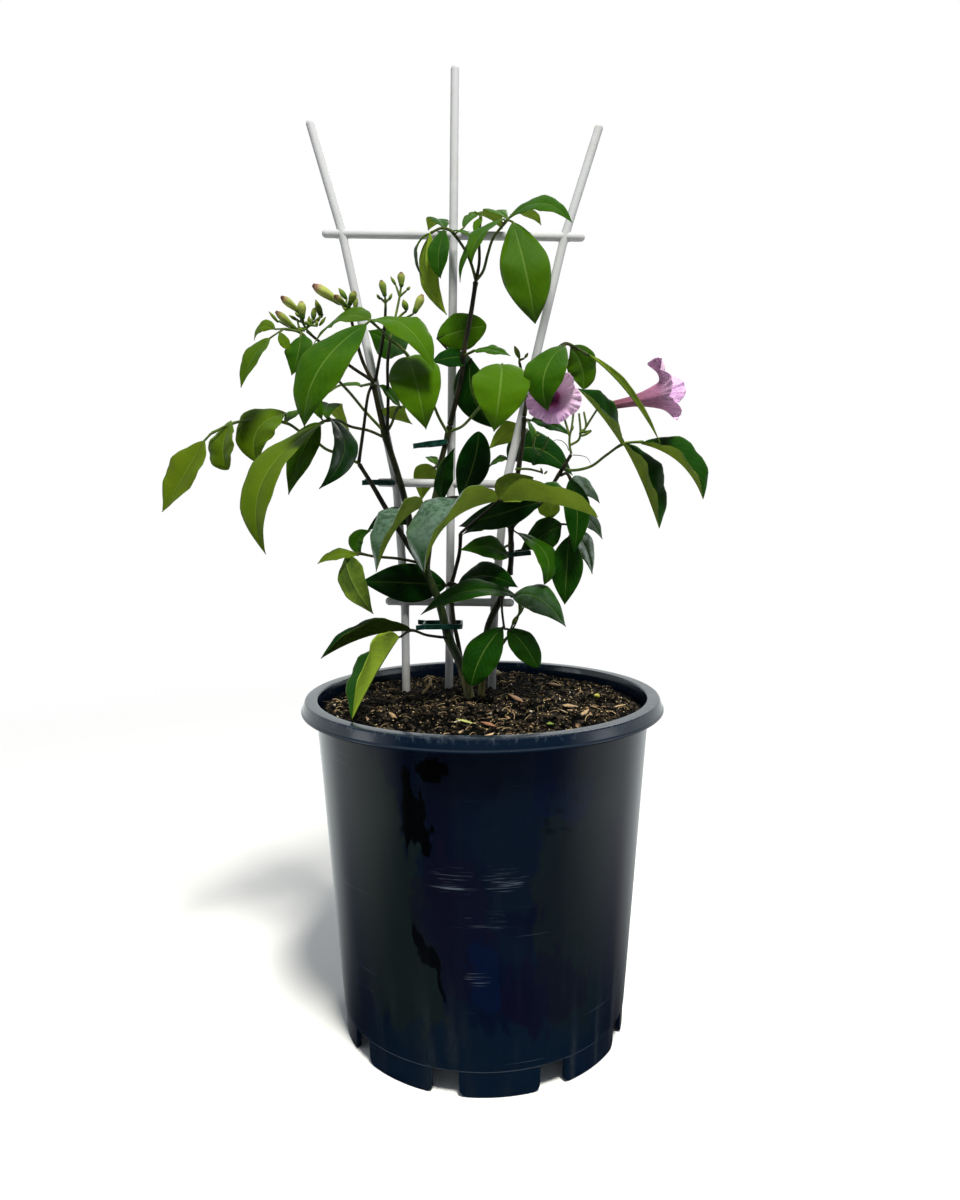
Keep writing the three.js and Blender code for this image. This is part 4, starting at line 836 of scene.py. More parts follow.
def flatBand(path, closed, height, thickness):  # a strip of four-sided section along a level path
    count = len(path)
    points, faces = [], []
    section = [(0.5, -0.47), (0.5, 0.47), (-0.5, 0.5), (-0.5, -0.5)]  # the outer face is a little narrower
    for i, p in enumerate(path):
        before = path[i - 1] if closed or i else p
        after = path[(i + 1) % count] if closed or i < count - 1 else p
        forward = (after - before).normalized()
        out = Vector((forward.y, -forward.x, 0)).normalized()
        points += [p + out * thickness * u + Vector((0, 0, height * v)) for u, v in section]
    for i in range(count if closed else count - 1):
        j = (i + 1) % count
        for k in range(4):
            n = (k + 1) % 4
            faces.append((4 * i + k, 4 * j + k, 4 * j + n, 4 * i + n))
    if not closed:
        faces += [(0, 1, 2, 3), tuple(4 * (count - 1) + k for k in (3, 2, 1, 0))]
    return points, faces


def makeTies():
    material = makeTieMaterial()
    s = tieShape
    for name, tie in ties.items():
        half, deep = tie["wide"] / 2 - s["thickness"] / 2, tie["deep"] / 2 - s["thickness"] / 2
        ring = []
        for cx, cy, turn in ((1, 1, 0), (-1, 1, 90), (-1, -1, 180), (1, -1, 270)):
            for a in np.linspace(turn, turn + 90, s["steps"]):
                ring.append(Vector((cx * (half - s["corner"]) + s["corner"] * math.cos(math.radians(a)),
                                    cy * (deep - s["corner"]) + s["corner"] * math.sin(math.radians(a)), 0)))
        points, faces = flatBand(ring, True, s["height"], s["thickness"])
        way, length = math.copysign(1, tie["tail"]), abs(tie["tail"]) + 1.5
        for side in (-1, 1):
            tail = [Vector((way * (half - 1 + t * length), side * (deep - 0.2 * t), 0.5 * side * t))
                    for t in np.linspace(0, 1, s["steps"])]
            addTo(points, faces, *flatBand(tail, False, s["height"] * s["tailShare"], s["thickness"]))
        turn = turned(-tie["lean"], "Y")
        points = [turn @ p + Vector(tie["at"]) for p in points]
        band = newPiece(name.replace("tie-", "bandTie-"), points, faces, material)
        bevel = band.modifiers.new("softEdges", "BEVEL")
        bevel.width, bevel.segments, bevel.limit_method = s["softEdge"] * mm, 2, "ANGLE"
        band.data.set_sharp_from_angle(angle=math.radians(40))
        settle(band, "tie", name)


makeTies()
print("ties are on")

# Stems: each cane is a main run with its side shoots, thick and thin being the diameters at its two ends
canes = {
    "cane-left": [
        dict(thick=6.2, thin=4.6, through=[
            (-7, 3, 178), (-7, 7, 187), (-13, 17, 207), (-20, 26, 221), (-26, 28, 244), (-34, 26, 263),
        ]),
        dict(thick=4.4, thin=3.2, through=[
            (-34, 26, 263), (-40, 28, 277), (-44, 30, 298), (-50, 31, 321), (-56, 29, 341), (-59, 27, 355),
            (-62, 25, 371),
        ]),
        dict(thick=3.8, thin=2.4, through=[
            (-33, 26, 261), (-43, 22, 277), (-54, 19, 296), (-63, 19, 312), (-71, 20, 325),
        ]),
        dict(thick=2.2, thin=1.8, through=[
            (-62, 25, 371), (-68, 23, 384), (-72, 20, 400), (-74, 18, 410),
        ]),
        dict(thick=2, thin=1.6, through=[
            (-63, 25, 373), (-74, 22, 380), (-87, 17, 390), (-98, 13, 399),
        ]),
        dict(thick=2, thin=1.6, through=[
            (-61, 25, 372), (-57, 20, 388), (-54, 16, 402), (-53, 14, 413),
        ]),
        dict(thick=2, thin=1.6, through=[
            (-55, 29, 341), (-53, 18, 361), (-51, 0, 380), (-49, -2, 392),
        ]),
        dict(thick=2, thin=1.6, through=[
            (-71, 20, 325), (-68, 22, 345), (-65, 24, 365), (-63, 25, 370),
        ]),
    ],
    "cane-centre": [
        dict(thick=3.8, thin=3.2, through=[
            (-33, 26, 261), (-30, 27, 283), (-27, 29, 305), (-24, 31, 324), (-20, 31, 339), (-18, 30, 347),
        ]),
        dict(thick=3.2, thin=2.6, through=[
            (-18, 30, 347), (-14, 27, 362), (-11, 24, 374), (-9, 21, 389), (-5, 20, 409), (-2, 23, 428),
        ]),
        dict(thick=2, thin=1.4, through=[
            (-2, 23, 428), (0, 26, 439), (0, 28, 452), (1, 30, 465),
        ]),
    ],
    "cane-right": [
        dict(thick=4.6, thin=3.8, through=[
            (-2, 16, 175), (-1, 19, 184), (2, 24, 211), (4, 26, 228), (11, 28, 243), (17, 30, 258),
        ]),
        dict(thick=3.4, thin=2.4, through=[
            (17, 30, 258), (18, 31, 268), (18, 29, 287), (20, 29, 303), (22, 30, 318), (25, 30, 338),
            (26, 30, 352),
        ]),
        dict(thick=2.2, thin=1.6, through=[
            (26, 30, 352), (27, 30, 364), (25, 28, 374), (23, 27, 383),
        ]),
        dict(thick=2.6, thin=2, through=[
            (18, 29, 287), (26, 20, 295), (35, 14, 302), (44, 13, 316), (52, 12, 329),
        ]),
        dict(thick=1.4, thin=0.8, through=[
            (3, 24, 208), (8, 21, 212), (16, 19, 223), (21, 16, 233), (23, 14, 242),
        ]),
    ],
    "stem-slender": [
        dict(thick=2.8, thin=2.2, through=[
            (-7, 22, 175), (-9, 26, 185), (-14, 31, 215), (-17, 32, 231), (-18, 32, 252), (-16, 31, 260),
            (-13, 27, 272), (-12, 21, 284),
        ]),
    ],
}


def leaflet(start, past, tip, width, face, fold, tone, warm=0.2, gloss=0.0, blunt=0.25):
    # base, middle and tip of the midrib, breadth, the upper side's direction, the fold in degrees, then how
    # fresh the green is and how lit it is painted (tone: low values are painted shade, high ones painted
    # sunlight), how yellow, how polished (gloss, which also paints a sheen) and how blunt the leaflet, each
    # from 0 to 1
    return dict(start=start, past=past, tip=tip, width=width, face=face, fold=fold, tone=tone, warm=warm,
                gloss=gloss, blunt=blunt)


# Leaves, each a stalk's route with its leaflets
fronds = {
    "leaf-top-right": dict(
        stalk=[(-2, 23, 428), (2, 23, 433), (5, 23, 443), (8, 22, 451), (16, 18, 460)],
        leaflets=[
            leaflet((17, 18, 461), (35, 10, 466), (51, 4, 454), 16, (0, -0.75, 0.7), 15, 0.5),
            leaflet((19, 16, 458), (26, 4, 427), (31, 8, 401), 28, (-0.1, -0.97, 0.2), 8, 0.66, gloss=0.25,
                    blunt=0.4),
            leaflet((14, 17, 460), (0, 4, 447), (-4, 0, 432), 14, (-0.5, -0.6, 0.6), 22, 0.55),
            leaflet((12, 18, 460), (-5, 20, 446), (-11, 18, 426), 9, (-0.6, -0.5, 0.5), 22, 0.45),
            leaflet((18, 20, 462), (28, 36, 469), (37, 46, 465), 12, (0, -0.1, 1), 15, 0.6),
            leaflet((16, 20, 461), (9, 36, 470), (14, 50, 464), 14, (0, 0.2, 1), 15, 0.6),
        ],
    ),
    "leaf-top-left": dict(
        stalk=[
            (-2, 23, 428), (-4, 25, 436), (-7, 27, 444), (-12, 28, 452), (-17, 30, 458), (-22, 30, 459),
            (-28, 29, 456),
        ],
        leaflets=[
            leaflet((-28, 29, 456), (-36, 26, 446), (-32, 24, 429), 8, (-1, -0.3, 0.1), 20, 0.25),
            leaflet((-20, 29, 458), (-23, 19, 441), (-22, 17, 428), 13, (-0.2, -0.95, 0.1), 25, 0.35),
            leaflet((-28, 29, 456), (-30, 27, 432), (-19, 27, 410), 15, (0.6, 0.75, 0.1), 25, 0.9),
            leaflet((-20, 31, 459), (-25, 47, 469), (-31, 59, 466), 13, (0, 0.1, 1), 15, 0.45),
            leaflet((-9, 30, 459), (-2, 47, 472), (7, 58, 472), 10, (0, 0, 1), 15, 0.55),
            leaflet((-16, 29, 457), (-10, 22, 455), (-5, 16, 450), 6, (0, -0.3, 1), 15, 0.5),
        ],
    ),
    "leaf-upper-left": dict(
        stalk=[
            (-19, 30, 342), (-24, 24, 351), (-27, 18, 358), (-34, 6, 370), (-40, -2, 383), (-49, -6, 391),
            (-59, -10, 400),
        ],
        leaflets=[
            leaflet((-58, -10, 400), (-38, -26, 393), (-24, -32, 371), 25, (0.3, -0.6, 0.75), 15, 0.75),
            leaflet((-59, -10, 400), (-77, 0, 403), (-95, 8, 388), 24, (-0.15, -0.45, 0.88), 14, 0.5,
                    warm=0.5),
            leaflet((-61, -11, 398), (-83, -34, 371), (-92, -32, 342), 27, (-0.2, -0.9, 0.4), 10, 0.52,
                    blunt=0.35),
            leaflet((-39, -2, 382), (-33, -24, 362), (-29, -22, 341), 28, (-0.05, -0.9, 0.45), 12, 0.75),
            leaflet((-42, 3, 385), (-52, 24, 394), (-65, 30, 402), 20, (-0.2, -0.9, 0.3), 12, 0.35),
        ],
    ),
    "leaf-middle": dict(
        stalk=[(-17, 30, 344), (-11, 25, 346), (-5, 18, 351), (4, 4, 361), (10, -6, 372), (12, -12, 376)],
        leaflets=[
            leaflet((12, -12, 376), (10, -32, 358), (7, -30, 339), 31, (0, -0.85, 0.5), 10, 0.8),
        ],
    ),
    "leaf-centre": dict(
        stalk=[(-9, 21, 385), (-13, 27, 387), (-17, 29, 389)],
        leaflets=[
            leaflet((-25, 29, 397), (-11, 28, 401), (4, 27, 404), 23, (0.05, -0.97, 0.2), 6, 0.6, blunt=0.9),
            leaflet((-6, 27, 386), (-16, 22, 385), (-28, 18, 382), 15, (0, -0.8, 0.5), 12, 0.1),
            leaflet((-5, 27, 385), (-4, 30, 364), (9, 28, 345), 22, (-0.3, -0.9, 0.3), 12, 0.1),
        ],
    ),
    "leaf-centre-right": dict(
        stalk=[(-9, 21, 386), (-6, 19, 387), (-3, 16, 388)],
        leaflets=[
            leaflet((-3, 16, 388), (6, 8, 387), (17, 4, 383), 13, (0, -0.5, 0.85), 15, 0.5),
        ],
    ),
    "leaf-far-left": dict(
        stalk=[
            (-57, 28, 344), (-67, 24, 355), (-74, 17, 364), (-80, 9, 371), (-90, 2, 384), (-98, -2, 395),
            (-107, -4, 397),
        ],
        leaflets=[
            leaflet((-114, -6, 392), (-122, -14, 380), (-128, -18, 364), 13, (-0.45, -0.85, 0.3), 24, 0.45,
                    warm=0.8),
            leaflet((-112, -3, 397), (-120, 0, 399), (-125, 2, 392), 9, (-0.3, -0.75, 0.6), 12, 0.65,
                    warm=0.8),
            leaflet((-109, -5, 395), (-106, -8, 389), (-103, -9, 384), 6, (0.3, -0.9, 0.2), 14, 0.7,
                    warm=0.6),
            leaflet((-98, -4, 393), (-98, -11, 383), (-102, -12, 371), 17, (-0.3, -0.9, 0.2), 15, 0.5),
        ],
    ),
    "leaf-left-tip": dict(
        stalk=[
            (-71, 20, 325), (-81, 18, 330), (-89, 16, 333), (-95, 13, 338), (-103, 10, 343), (-109, 8, 347),
            (-124, 4, 349), (-137, 0, 347), (-149, -4, 341),
        ],
        leaflets=[
            leaflet((-153, -4, 337), (-163, -10, 318), (-175, -13, 298), 25, (-0.45, -0.85, 0.29), 26, 0.8,
                    warm=1),
            leaflet((-139, 0, 348), (-142, -6, 333), (-139, -8, 321), 24, (-0.62, -0.78, 0), 22, 0.65,
                    warm=0.8, blunt=0.8),
            leaflet((-110, 8, 353), (-124, 0, 343), (-125, -2, 325), 29, (-0.4, -0.85, 0.35), 22, 0.6,
                    warm=0.8, blunt=0.6),
            leaflet((-110, 9, 348), (-107, 18, 354), (-103, 26, 356), 8, (0, -0.3, 1), 15, 0.7),
        ],
    ),
    "leaf-left-hanging": dict(
        stalk=[(-56, 29, 340), (-65, 26, 344), (-75, 18, 346), (-81, 11, 349), (-88, 4, 348)],
        leaflets=[
            leaflet((-88, 3, 347), (-114, -34, 314), (-113, -38, 276), 25, (-0.5, -0.85, 0.15), 22, 0.6,
                    warm=1),
            leaflet((-90, 4, 347), (-100, 2, 331), (-109, 4, 307), 17, (-0.2, -0.95, 0.1), 20, 0.3, warm=0.9),
            leaflet((-85, 6, 350), (-75, -8, 331), (-88, -16, 310), 16, (0.6, -0.75, 0.1), 22, 0.05,
                    gloss=0.25),
            leaflet((-86, 5, 349), (-87, 24, 359), (-77, 34, 341), 15, (0, -0.2, 1), 15, 0.5),
            leaflet((-89, 4, 349), (-94, 4, 363), (-98, 8, 378), 9, (0.3, -0.9, 0.1), 15, 0.5),
        ],
    ),
    "leaf-inner-left": dict(
        stalk=[(-56, 29, 342), (-52, 26, 348), (-48, 20, 356), (-46, 18, 357)],
        leaflets=[
            leaflet((-46, 18, 357), (-52, 12, 364), (-57, 8, 368), 9, (0.3, -0.7, 0.6), 20, 0.4),
            leaflet((-46, 19, 357), (-51, 30, 356), (-41, 42, 349), 15, (0, 0.8, 0.5), 15, 0.6),
        ],
    ),
    "leaf-inner-back": dict(
        stalk=[(-62, 25, 371), (-67, 30, 371), (-71, 36, 371)],
        leaflets=[
            leaflet((-71, 36, 371), (-86, 46, 372), (-103, 52, 361), 13, (0, -0.3, 1), 15, 0.65),
        ],
    ),
    "leaf-shaded": dict(
        stalk=[(-27, 29, 305), (-22, 22, 304), (-17, 16, 305), (-12, 12, 305)],
        leaflets=[
            leaflet((-12, 12, 305), (-4, 8, 324), (-1, 8, 342), 19, (0.1, -0.98, 0), 8, 0, blunt=0.9),
            leaflet((-22, 21, 304), (-22, 15, 318), (-15, 14, 333), 13, (0.5, -0.8, 0.1), 35, 0.1),
        ],
    ),
    "leaf-behind": dict(
        stalk=[(-24, 31, 324), (-26, 38, 324), (-28, 44, 323)],
        leaflets=[
            leaflet((-28, 44, 323), (-34, 52, 318), (-37, 56, 303), 16, (0, 0.9, 0.3), 15, 0.6),
            leaflet((-26, 38, 324), (-30, 44, 329), (-33, 50, 329), 7, (0, -0.3, 1), 15, 0.6),
        ],
    ),
    "leaf-right-back": dict(
        stalk=[(23, 30, 323), (24, 38, 326), (22, 46, 327), (17, 51, 328)],
        leaflets=[
            leaflet((17, 51, 328), (35, 58, 335), (57, 52, 318), 25, (0, -0.85, 0.5), 12, 0.1),
            leaflet((17, 51, 328), (11, 52, 328), (5, 54, 323), 8, (0, -0.5, 0.8), 15, 0.5),
        ],
    ),
    "leaf-right-upper": dict(
        stalk=[(26, 30, 342), (28, 38, 345), (26, 43, 345)],
        leaflets=[
            leaflet((26, 43, 345), (17, 47, 344), (5, 46, 334), 16, (0, 0.7, 0.7), 15, 0.6),
        ],
    ),
    "leaf-under-flower": dict(
        stalk=[(26, 30, 350), (30, 33, 350)],
        leaflets=[
            leaflet((30, 33, 350), (41, 34, 348), (53, 30, 341), 12, (0, -0.6, 0.8), 15, 0.15),
            leaflet((28, 32, 350), (30, 24, 344), (30, 18, 337), 6, (0.6, -0.8, 0.1), 20, 0.4),
        ],
    ),
    "leaf-front": dict(
        stalk=[(-12, 21, 284), (-4, 10, 291), (4, -4, 298), (10, -12, 303)],
        leaflets=[
            leaflet((9, -12, 303), (-17, -44, 292), (-29, -54, 267), 42, (-0.5, -0.25, 0.83), 46, 0.16,
                    gloss=1, blunt=0.6),
            leaflet((12, -12, 303), (35, -38, 302), (61, -36, 294), 30, (0.16, -0.03, 0.99), 56, 0.2,
                    blunt=0.5),
            leaflet((10, -10, 303), (18, 0, 310), (30, 8, 316), 19, (0.1, 0.95, -0.25), 10, 0.05, blunt=0.5),
        ],
    ),
    "leaf-front-left": dict(
        stalk=[(-27, 29, 302), (-29, 18, 299), (-31, 8, 299)],
        leaflets=[
            leaflet((-33, 8, 300), (-46, -16, 289), (-57, -24, 265), 30, (-0.62, -0.32, 0.72), 50, 0.16,
                    gloss=1),
        ],
    ),
    "leaf-left-shaded": dict(
        stalk=[(-41, 29, 286), (-43, 33, 289)],
        leaflets=[
            leaflet((-42, 32, 288), (-53, 31, 294), (-68, 26, 285), 13, (0, -0.85, 0.5), 10, 0.15),
        ],
    ),
    "leaf-under": dict(
        stalk=[(18, 29, 286), (14, 22, 289), (11, 18, 289)],
        leaflets=[
            leaflet((13, 22, 289), (3, 21, 290), (-11, 25, 283), 14, (0, -0.6, 0.8), 15, 0.1),
            leaflet((21, 24, 284), (37, 8, 272), (36, 4, 255), 15, (0.5, -0.8, 0.3), 14, 0.4, blunt=0.7),
        ],
    ),
    "leaf-dark-under": dict(
        stalk=[(35, 14, 302), (31, 8, 301)],
        leaflets=[
            leaflet((34, 8, 302), (10, 8, 295), (-13, 21, 288), 17, (0, -0.95, 0.2), 8, 0.05),
            leaflet((37, 10, 304), (40, 22, 298), (41, 28, 292), 13, (0.1, 0.95, 0.2), 10, 1.0, blunt=0.8),
        ],
    ),
    "leaf-low-left": dict(
        stalk=[(-36, 26, 266), (-48, 22, 269), (-63, 16, 271), (-71, 12, 273), (-76, 10, 273)],
        leaflets=[
            leaflet((-71, 10, 272), (-82, 6, 273), (-93, 0, 268), 12, (-0.1, -0.5, 0.85), 14, 0.75, warm=0.9),
            leaflet((-78, 10, 272), (-73, -2, 258), (-61, -7, 240), 20, (0.4, 0.88, 0.1), 14, -0.02,
                    warm=0.8),
            leaflet((-70, 13, 273), (-72, 16, 281), (-64, 14, 286), 11, (-0.4, -0.8, 0.3), 25, 0.4),
        ],
    ),
    "leaf-low-pair": dict(
        stalk=[(-18, 32, 252), (-20, 30, 253), (-18, 28, 254), (-15, 27, 253)],
        leaflets=[
            leaflet((-21, 31, 252), (-46, 31, 254), (-71, 18, 256), 24, (0, -0.99, 0.12), 8, 0.05),
            leaflet((-14, 27, 253), (2, 17, 259), (21, 8, 253), 21, (0, -0.8, 0.6), 12, 0.08),
        ],
    ),
    "leaf-low-front": dict(
        stalk=[(15, 29, 251), (17, 21, 247), (18, 14, 247)],
        leaflets=[
            leaflet((21, 14, 247), (-6, -8, 253), (-34, -12, 240), 16, (0, -0.6, 0.8), 22, 0.2),
            leaflet((18, 14, 247), (33, 2, 247), (48, 0, 231), 20, (0.2, -0.8, 0.5), 12, 0.35, gloss=0.6),
        ],
    ),
    "leaf-over-rim": dict(
        stalk=[(-20, 26, 221), (-26, 17, 223), (-33, 12, 225), (-41, 10, 228), (-47, 4, 225)],
        leaflets=[
            leaflet((-41, 10, 228), (-66, 2, 226), (-90, -14, 216), 24, (-0.26, 0.04, 0.97), 58, -0.08,
                    blunt=0.4),
            leaflet((-48, 4, 225), (-56, -34, 213), (-66, -64, 194), 31, (-0.79, -0.07, 0.61), 60, 0.22,
                    blunt=0.5),
        ],
    ),
    "leaf-low-hanging": dict(
        stalk=[(17, 30, 258), (13, 24, 250), (12, 19, 241), (13, 6, 229)],
        leaflets=[
            leaflet((12, 6, 230), (0, -6, 216), (-6, -9, 199), 21, (-0.2, -0.95, 0.2), 8, 0.2, blunt=1.0),
            leaflet((15, 6, 229), (24, -1, 221), (32, -4, 208), 16, (0.2, -0.93, 0.3), 8, 0.25, blunt=1.0),
        ],
    ),
    "leaf-low-right": dict(
        stalk=[(18, 31, 276), (15, 24, 276), (13, 18, 275)],
        leaflets=[
            leaflet((16, 18, 270), (5, 10, 276), (-12, 4, 275), 17, (0.1, -0.75, 0.6), 16, 0.4),
        ],
    ),
    "leaf-right-cluster": dict(
        stalk=[(46, 13, 317), (49, 9, 318), (51, 8, 315), (53, 14, 303), (52, 16, 290), (52, 14, 280)],
        leaflets=[
            leaflet((51, 8, 315), (54, -2, 296), (52, -4, 273), 15, (0, -1, 0.1), 15, 0.15),
            leaflet((47, 17, 289), (37, 27, 282), (24, 29, 274), 20, (0, -0.9, 0.4), 10, 0.2),
            leaflet((51, 13, 282), (49, 6, 263), (48, 6, 243), 19, (-0.1, -1, 0.15), 10, 0.2, blunt=0.35),
            leaflet((52, 9, 315), (61, 16, 310), (69, 16, 301), 12, (0.3, -0.7, 0.6), 15, 0.4, gloss=1.0),
            leaflet((54, 16, 295), (63, 20, 292), (71, 18, 280), 14, (0.3, -0.7, 0.6), 15, 0.4, gloss=1.0),
            leaflet((53, 15, 281), (61, 22, 276), (66, 24, 259), 13, (0.3, -0.9, 0.2), 15, 0.4, gloss=1.0),
        ],
    ),
    "leaf-over-flower": dict(
        stalk=[
            (26, 30, 354), (29, 30, 363), (32, 30, 370), (38, 22, 382), (44, 8, 388), (48, -4, 388),
            (55, -6, 384), (59, -8, 381),
        ],
        leaflets=[
            leaflet((46, -5, 387), (34, -24, 369), (36, -22, 350), 23, (-0.3, -0.9, 0.4), 15, 0.5),
            leaflet((50, -2, 387), (57, 6, 377), (58, 8, 365), 20, (0.25, -0.93, 0.25), 14, 0.6, blunt=0.8),
            leaflet((60, -8, 381), (78, -22, 360), (96, -22, 333), 7, (0.7, -0.12, 0.7), 74, 0.1),
        ],
    ),
    "leaf-far-right": dict(
        stalkTone=0.85,
        stalk=[(48, 13, 321), (53, 16, 320), (63, 10, 322), (71, 5, 328), (80, 0, 334), (91, -2, 335)],
        leaflets=[
            leaflet((79, 0, 334), (65, -15, 349), (52, -20, 362), 26, (0.79, -0.39, 0.48), 42, 0.15,
                    blunt=0.4),
            leaflet((80, 0, 334), (90, -4, 313), (99, -8, 287), 33, (0.81, -0.43, 0.4), 47, 0.15, blunt=0.5),
            leaflet((90, -2, 334), (110, -8, 323), (122, -12, 303), 29, (0.53, -0.48, 0.7), 48, 0.2,
                    blunt=0.5),
        ],
    ),
    "leaf-shoot": dict(
        stalk=[(1, 30, 463), (1, 31, 466)],
        leaflets=[
            leaflet((1, 31, 465), (-1, 26, 460), (-3, 22, 454), 5, (-0.3, -0.9, 0.2), 20, 0.7),
            leaflet((1, 31, 466), (-3, 28, 467), (-6, 26, 465), 5, (0, -0.3, 1), 15, 0.7),
        ],
    ),
}


barkColour = dict(  # each a dark and a light end, for thin, thick and fresh stems, then two single colours
    thin=((0.0045, 0.0050, 0.0020), (0.024, 0.020, 0.009)),
    thick=((0.0070, 0.0140, 0.0035), (0.022, 0.040, 0.009)),
    fresh=((0.045, 0.085, 0.012), (0.110, 0.160, 0.030)),
    foot=(0.20, 0.17, 0.055), speck=(0.12, 0.09, 0.05),
)


def makeBarkMaterial():
    material, start = newMaterial("vineStem")
    c = barkColour
    spot = spotOn(start)
    girth, tone = attributeOf(start, "girth"), attributeOf(start, "tone")
    height = axesOf(spot).out("Z")
    streaks = cloudy(start, 420, 4, spot, (1, 1, 0.12))
    specks = eased(cloudy(start, 900, 2, spot, (1, 1, 0.5)), 0.62, 0.72)
    thick = eased(girth, 0.0015, 0.0024)
    brown = colourMix(eased(streaks, 0.35, 0.7), *c["thin"])
    green = colourMix(eased(streaks, 0.3, 0.75), *c["thick"])
    colour = colourMix(thick * 0.8, brown, green)
    fresh = colourMix(eased(streaks, 0.3, 0.75), *c["fresh"])
    colour = colourMix(eased(tone, 0.2, 0.8), colour, fresh)
    pale = eased(height, 0.212, 0.190) * eased(girth, 0.0014, 0.0022)
    colour = colourMix(pale * eased(streaks, 0.3, 0.6) * 0.85, colour, c["foot"])
    colour = colourMix(specks * 0.25, colour, c["speck"])
    bump = bumpFrom(streaks + specks * 0.6, 0.0004, 0.7)
    finishMaterial(start, {"Base Color": colour, "Roughness": 0.42 + streaks * 0.2, "Normal": bump,
                           "Specular IOR Level": 0.22})
    return material


bark = makeBarkMaterial()
swelling = dict(share=0.24, reach=2.6, within=4.5)  # a joint where a shoot or a leaf's stalk leaves
caneShape = dict(  # broad and fine are the two wobbles of a cane's girth
    steps=10, sides=16, broad=0.05, broadScale=0.12, fine=0.03, fineScale=0.4)


def bulged(path, radii, joints):
    joints = [j for j in joints if min((p - j).length for p in path) < swelling["within"]]
    grown = [1 + swelling["share"] * nearness(p, joints, swelling["reach"]) for p in path]
    return [r * g for r, g in zip(radii, grown)]


def makeCanes():
    s = caneShape
    leaving = [Vector(frond["stalk"][0]) for frond in fronds.values()]
    leaving += [Vector(shoot["through"][0]) for shoots in canes.values() for shoot in shoots]
    for name, shoots in canes.items():
        routes = []
        for shoot in shoots:
            path = smoothPath(shoot["through"], s["steps"])
            spread = np.linspace(shoot["thick"] / 2, shoot["thin"] / 2, len(path))
            wobble = [1 + s["broad"] * noise.noise(p * s["broadScale"])
                      + s["fine"] * noise.noise(p * s["fineScale"]) for p in path]
            radii = bulged(path, [r * w for r, w in zip(spread, wobble)], leaving)
            routes.append(domed(path, radii))
        piece = rods(name.replace("cane", "vineCane").replace("stem", "vineStem"), routes, bark, s["sides"])
        settle(piece, "stem", name)


makeCanes()
print("stems are up")

# Leaves: a folded, arched blade in two skins on a bent midrib, each on its own short stalk
bladeShape = dict(
    rows=32, across=(0, 0.05, 0.14, 0.28, 0.44, 0.6, 0.76, 0.9, 1.0), belly=0.42, neck=0.8, thickness=0.42,
    roll=26, wave=0.07, waves=2.5, rib=0.45, ribWidth=0.8, drip=0.10, petioluleRadius=0.62,
)
heartBased = {("leaf-upper-left", 3), ("leaf-middle", 0)}  # a leaf and which of its leaflets


def bladeOutline(t, heart, blunt):
    belly = 0.3 if heart else bladeShape["belly"] + 0.06 * blunt
    if t < belly:
        return math.sin(math.pi / 2 * t / belly) ** (0.5 if heart else 0.8)
    taper = max(0.0, math.cos(math.pi / 2 * (t - belly) / (1 - belly))) ** (1.18 - 0.66 * blunt)
    return taper * (1 - bladeShape["drip"] * (1 - blunt) * max(0, (t - 0.72) / 0.28) ** 1.5)


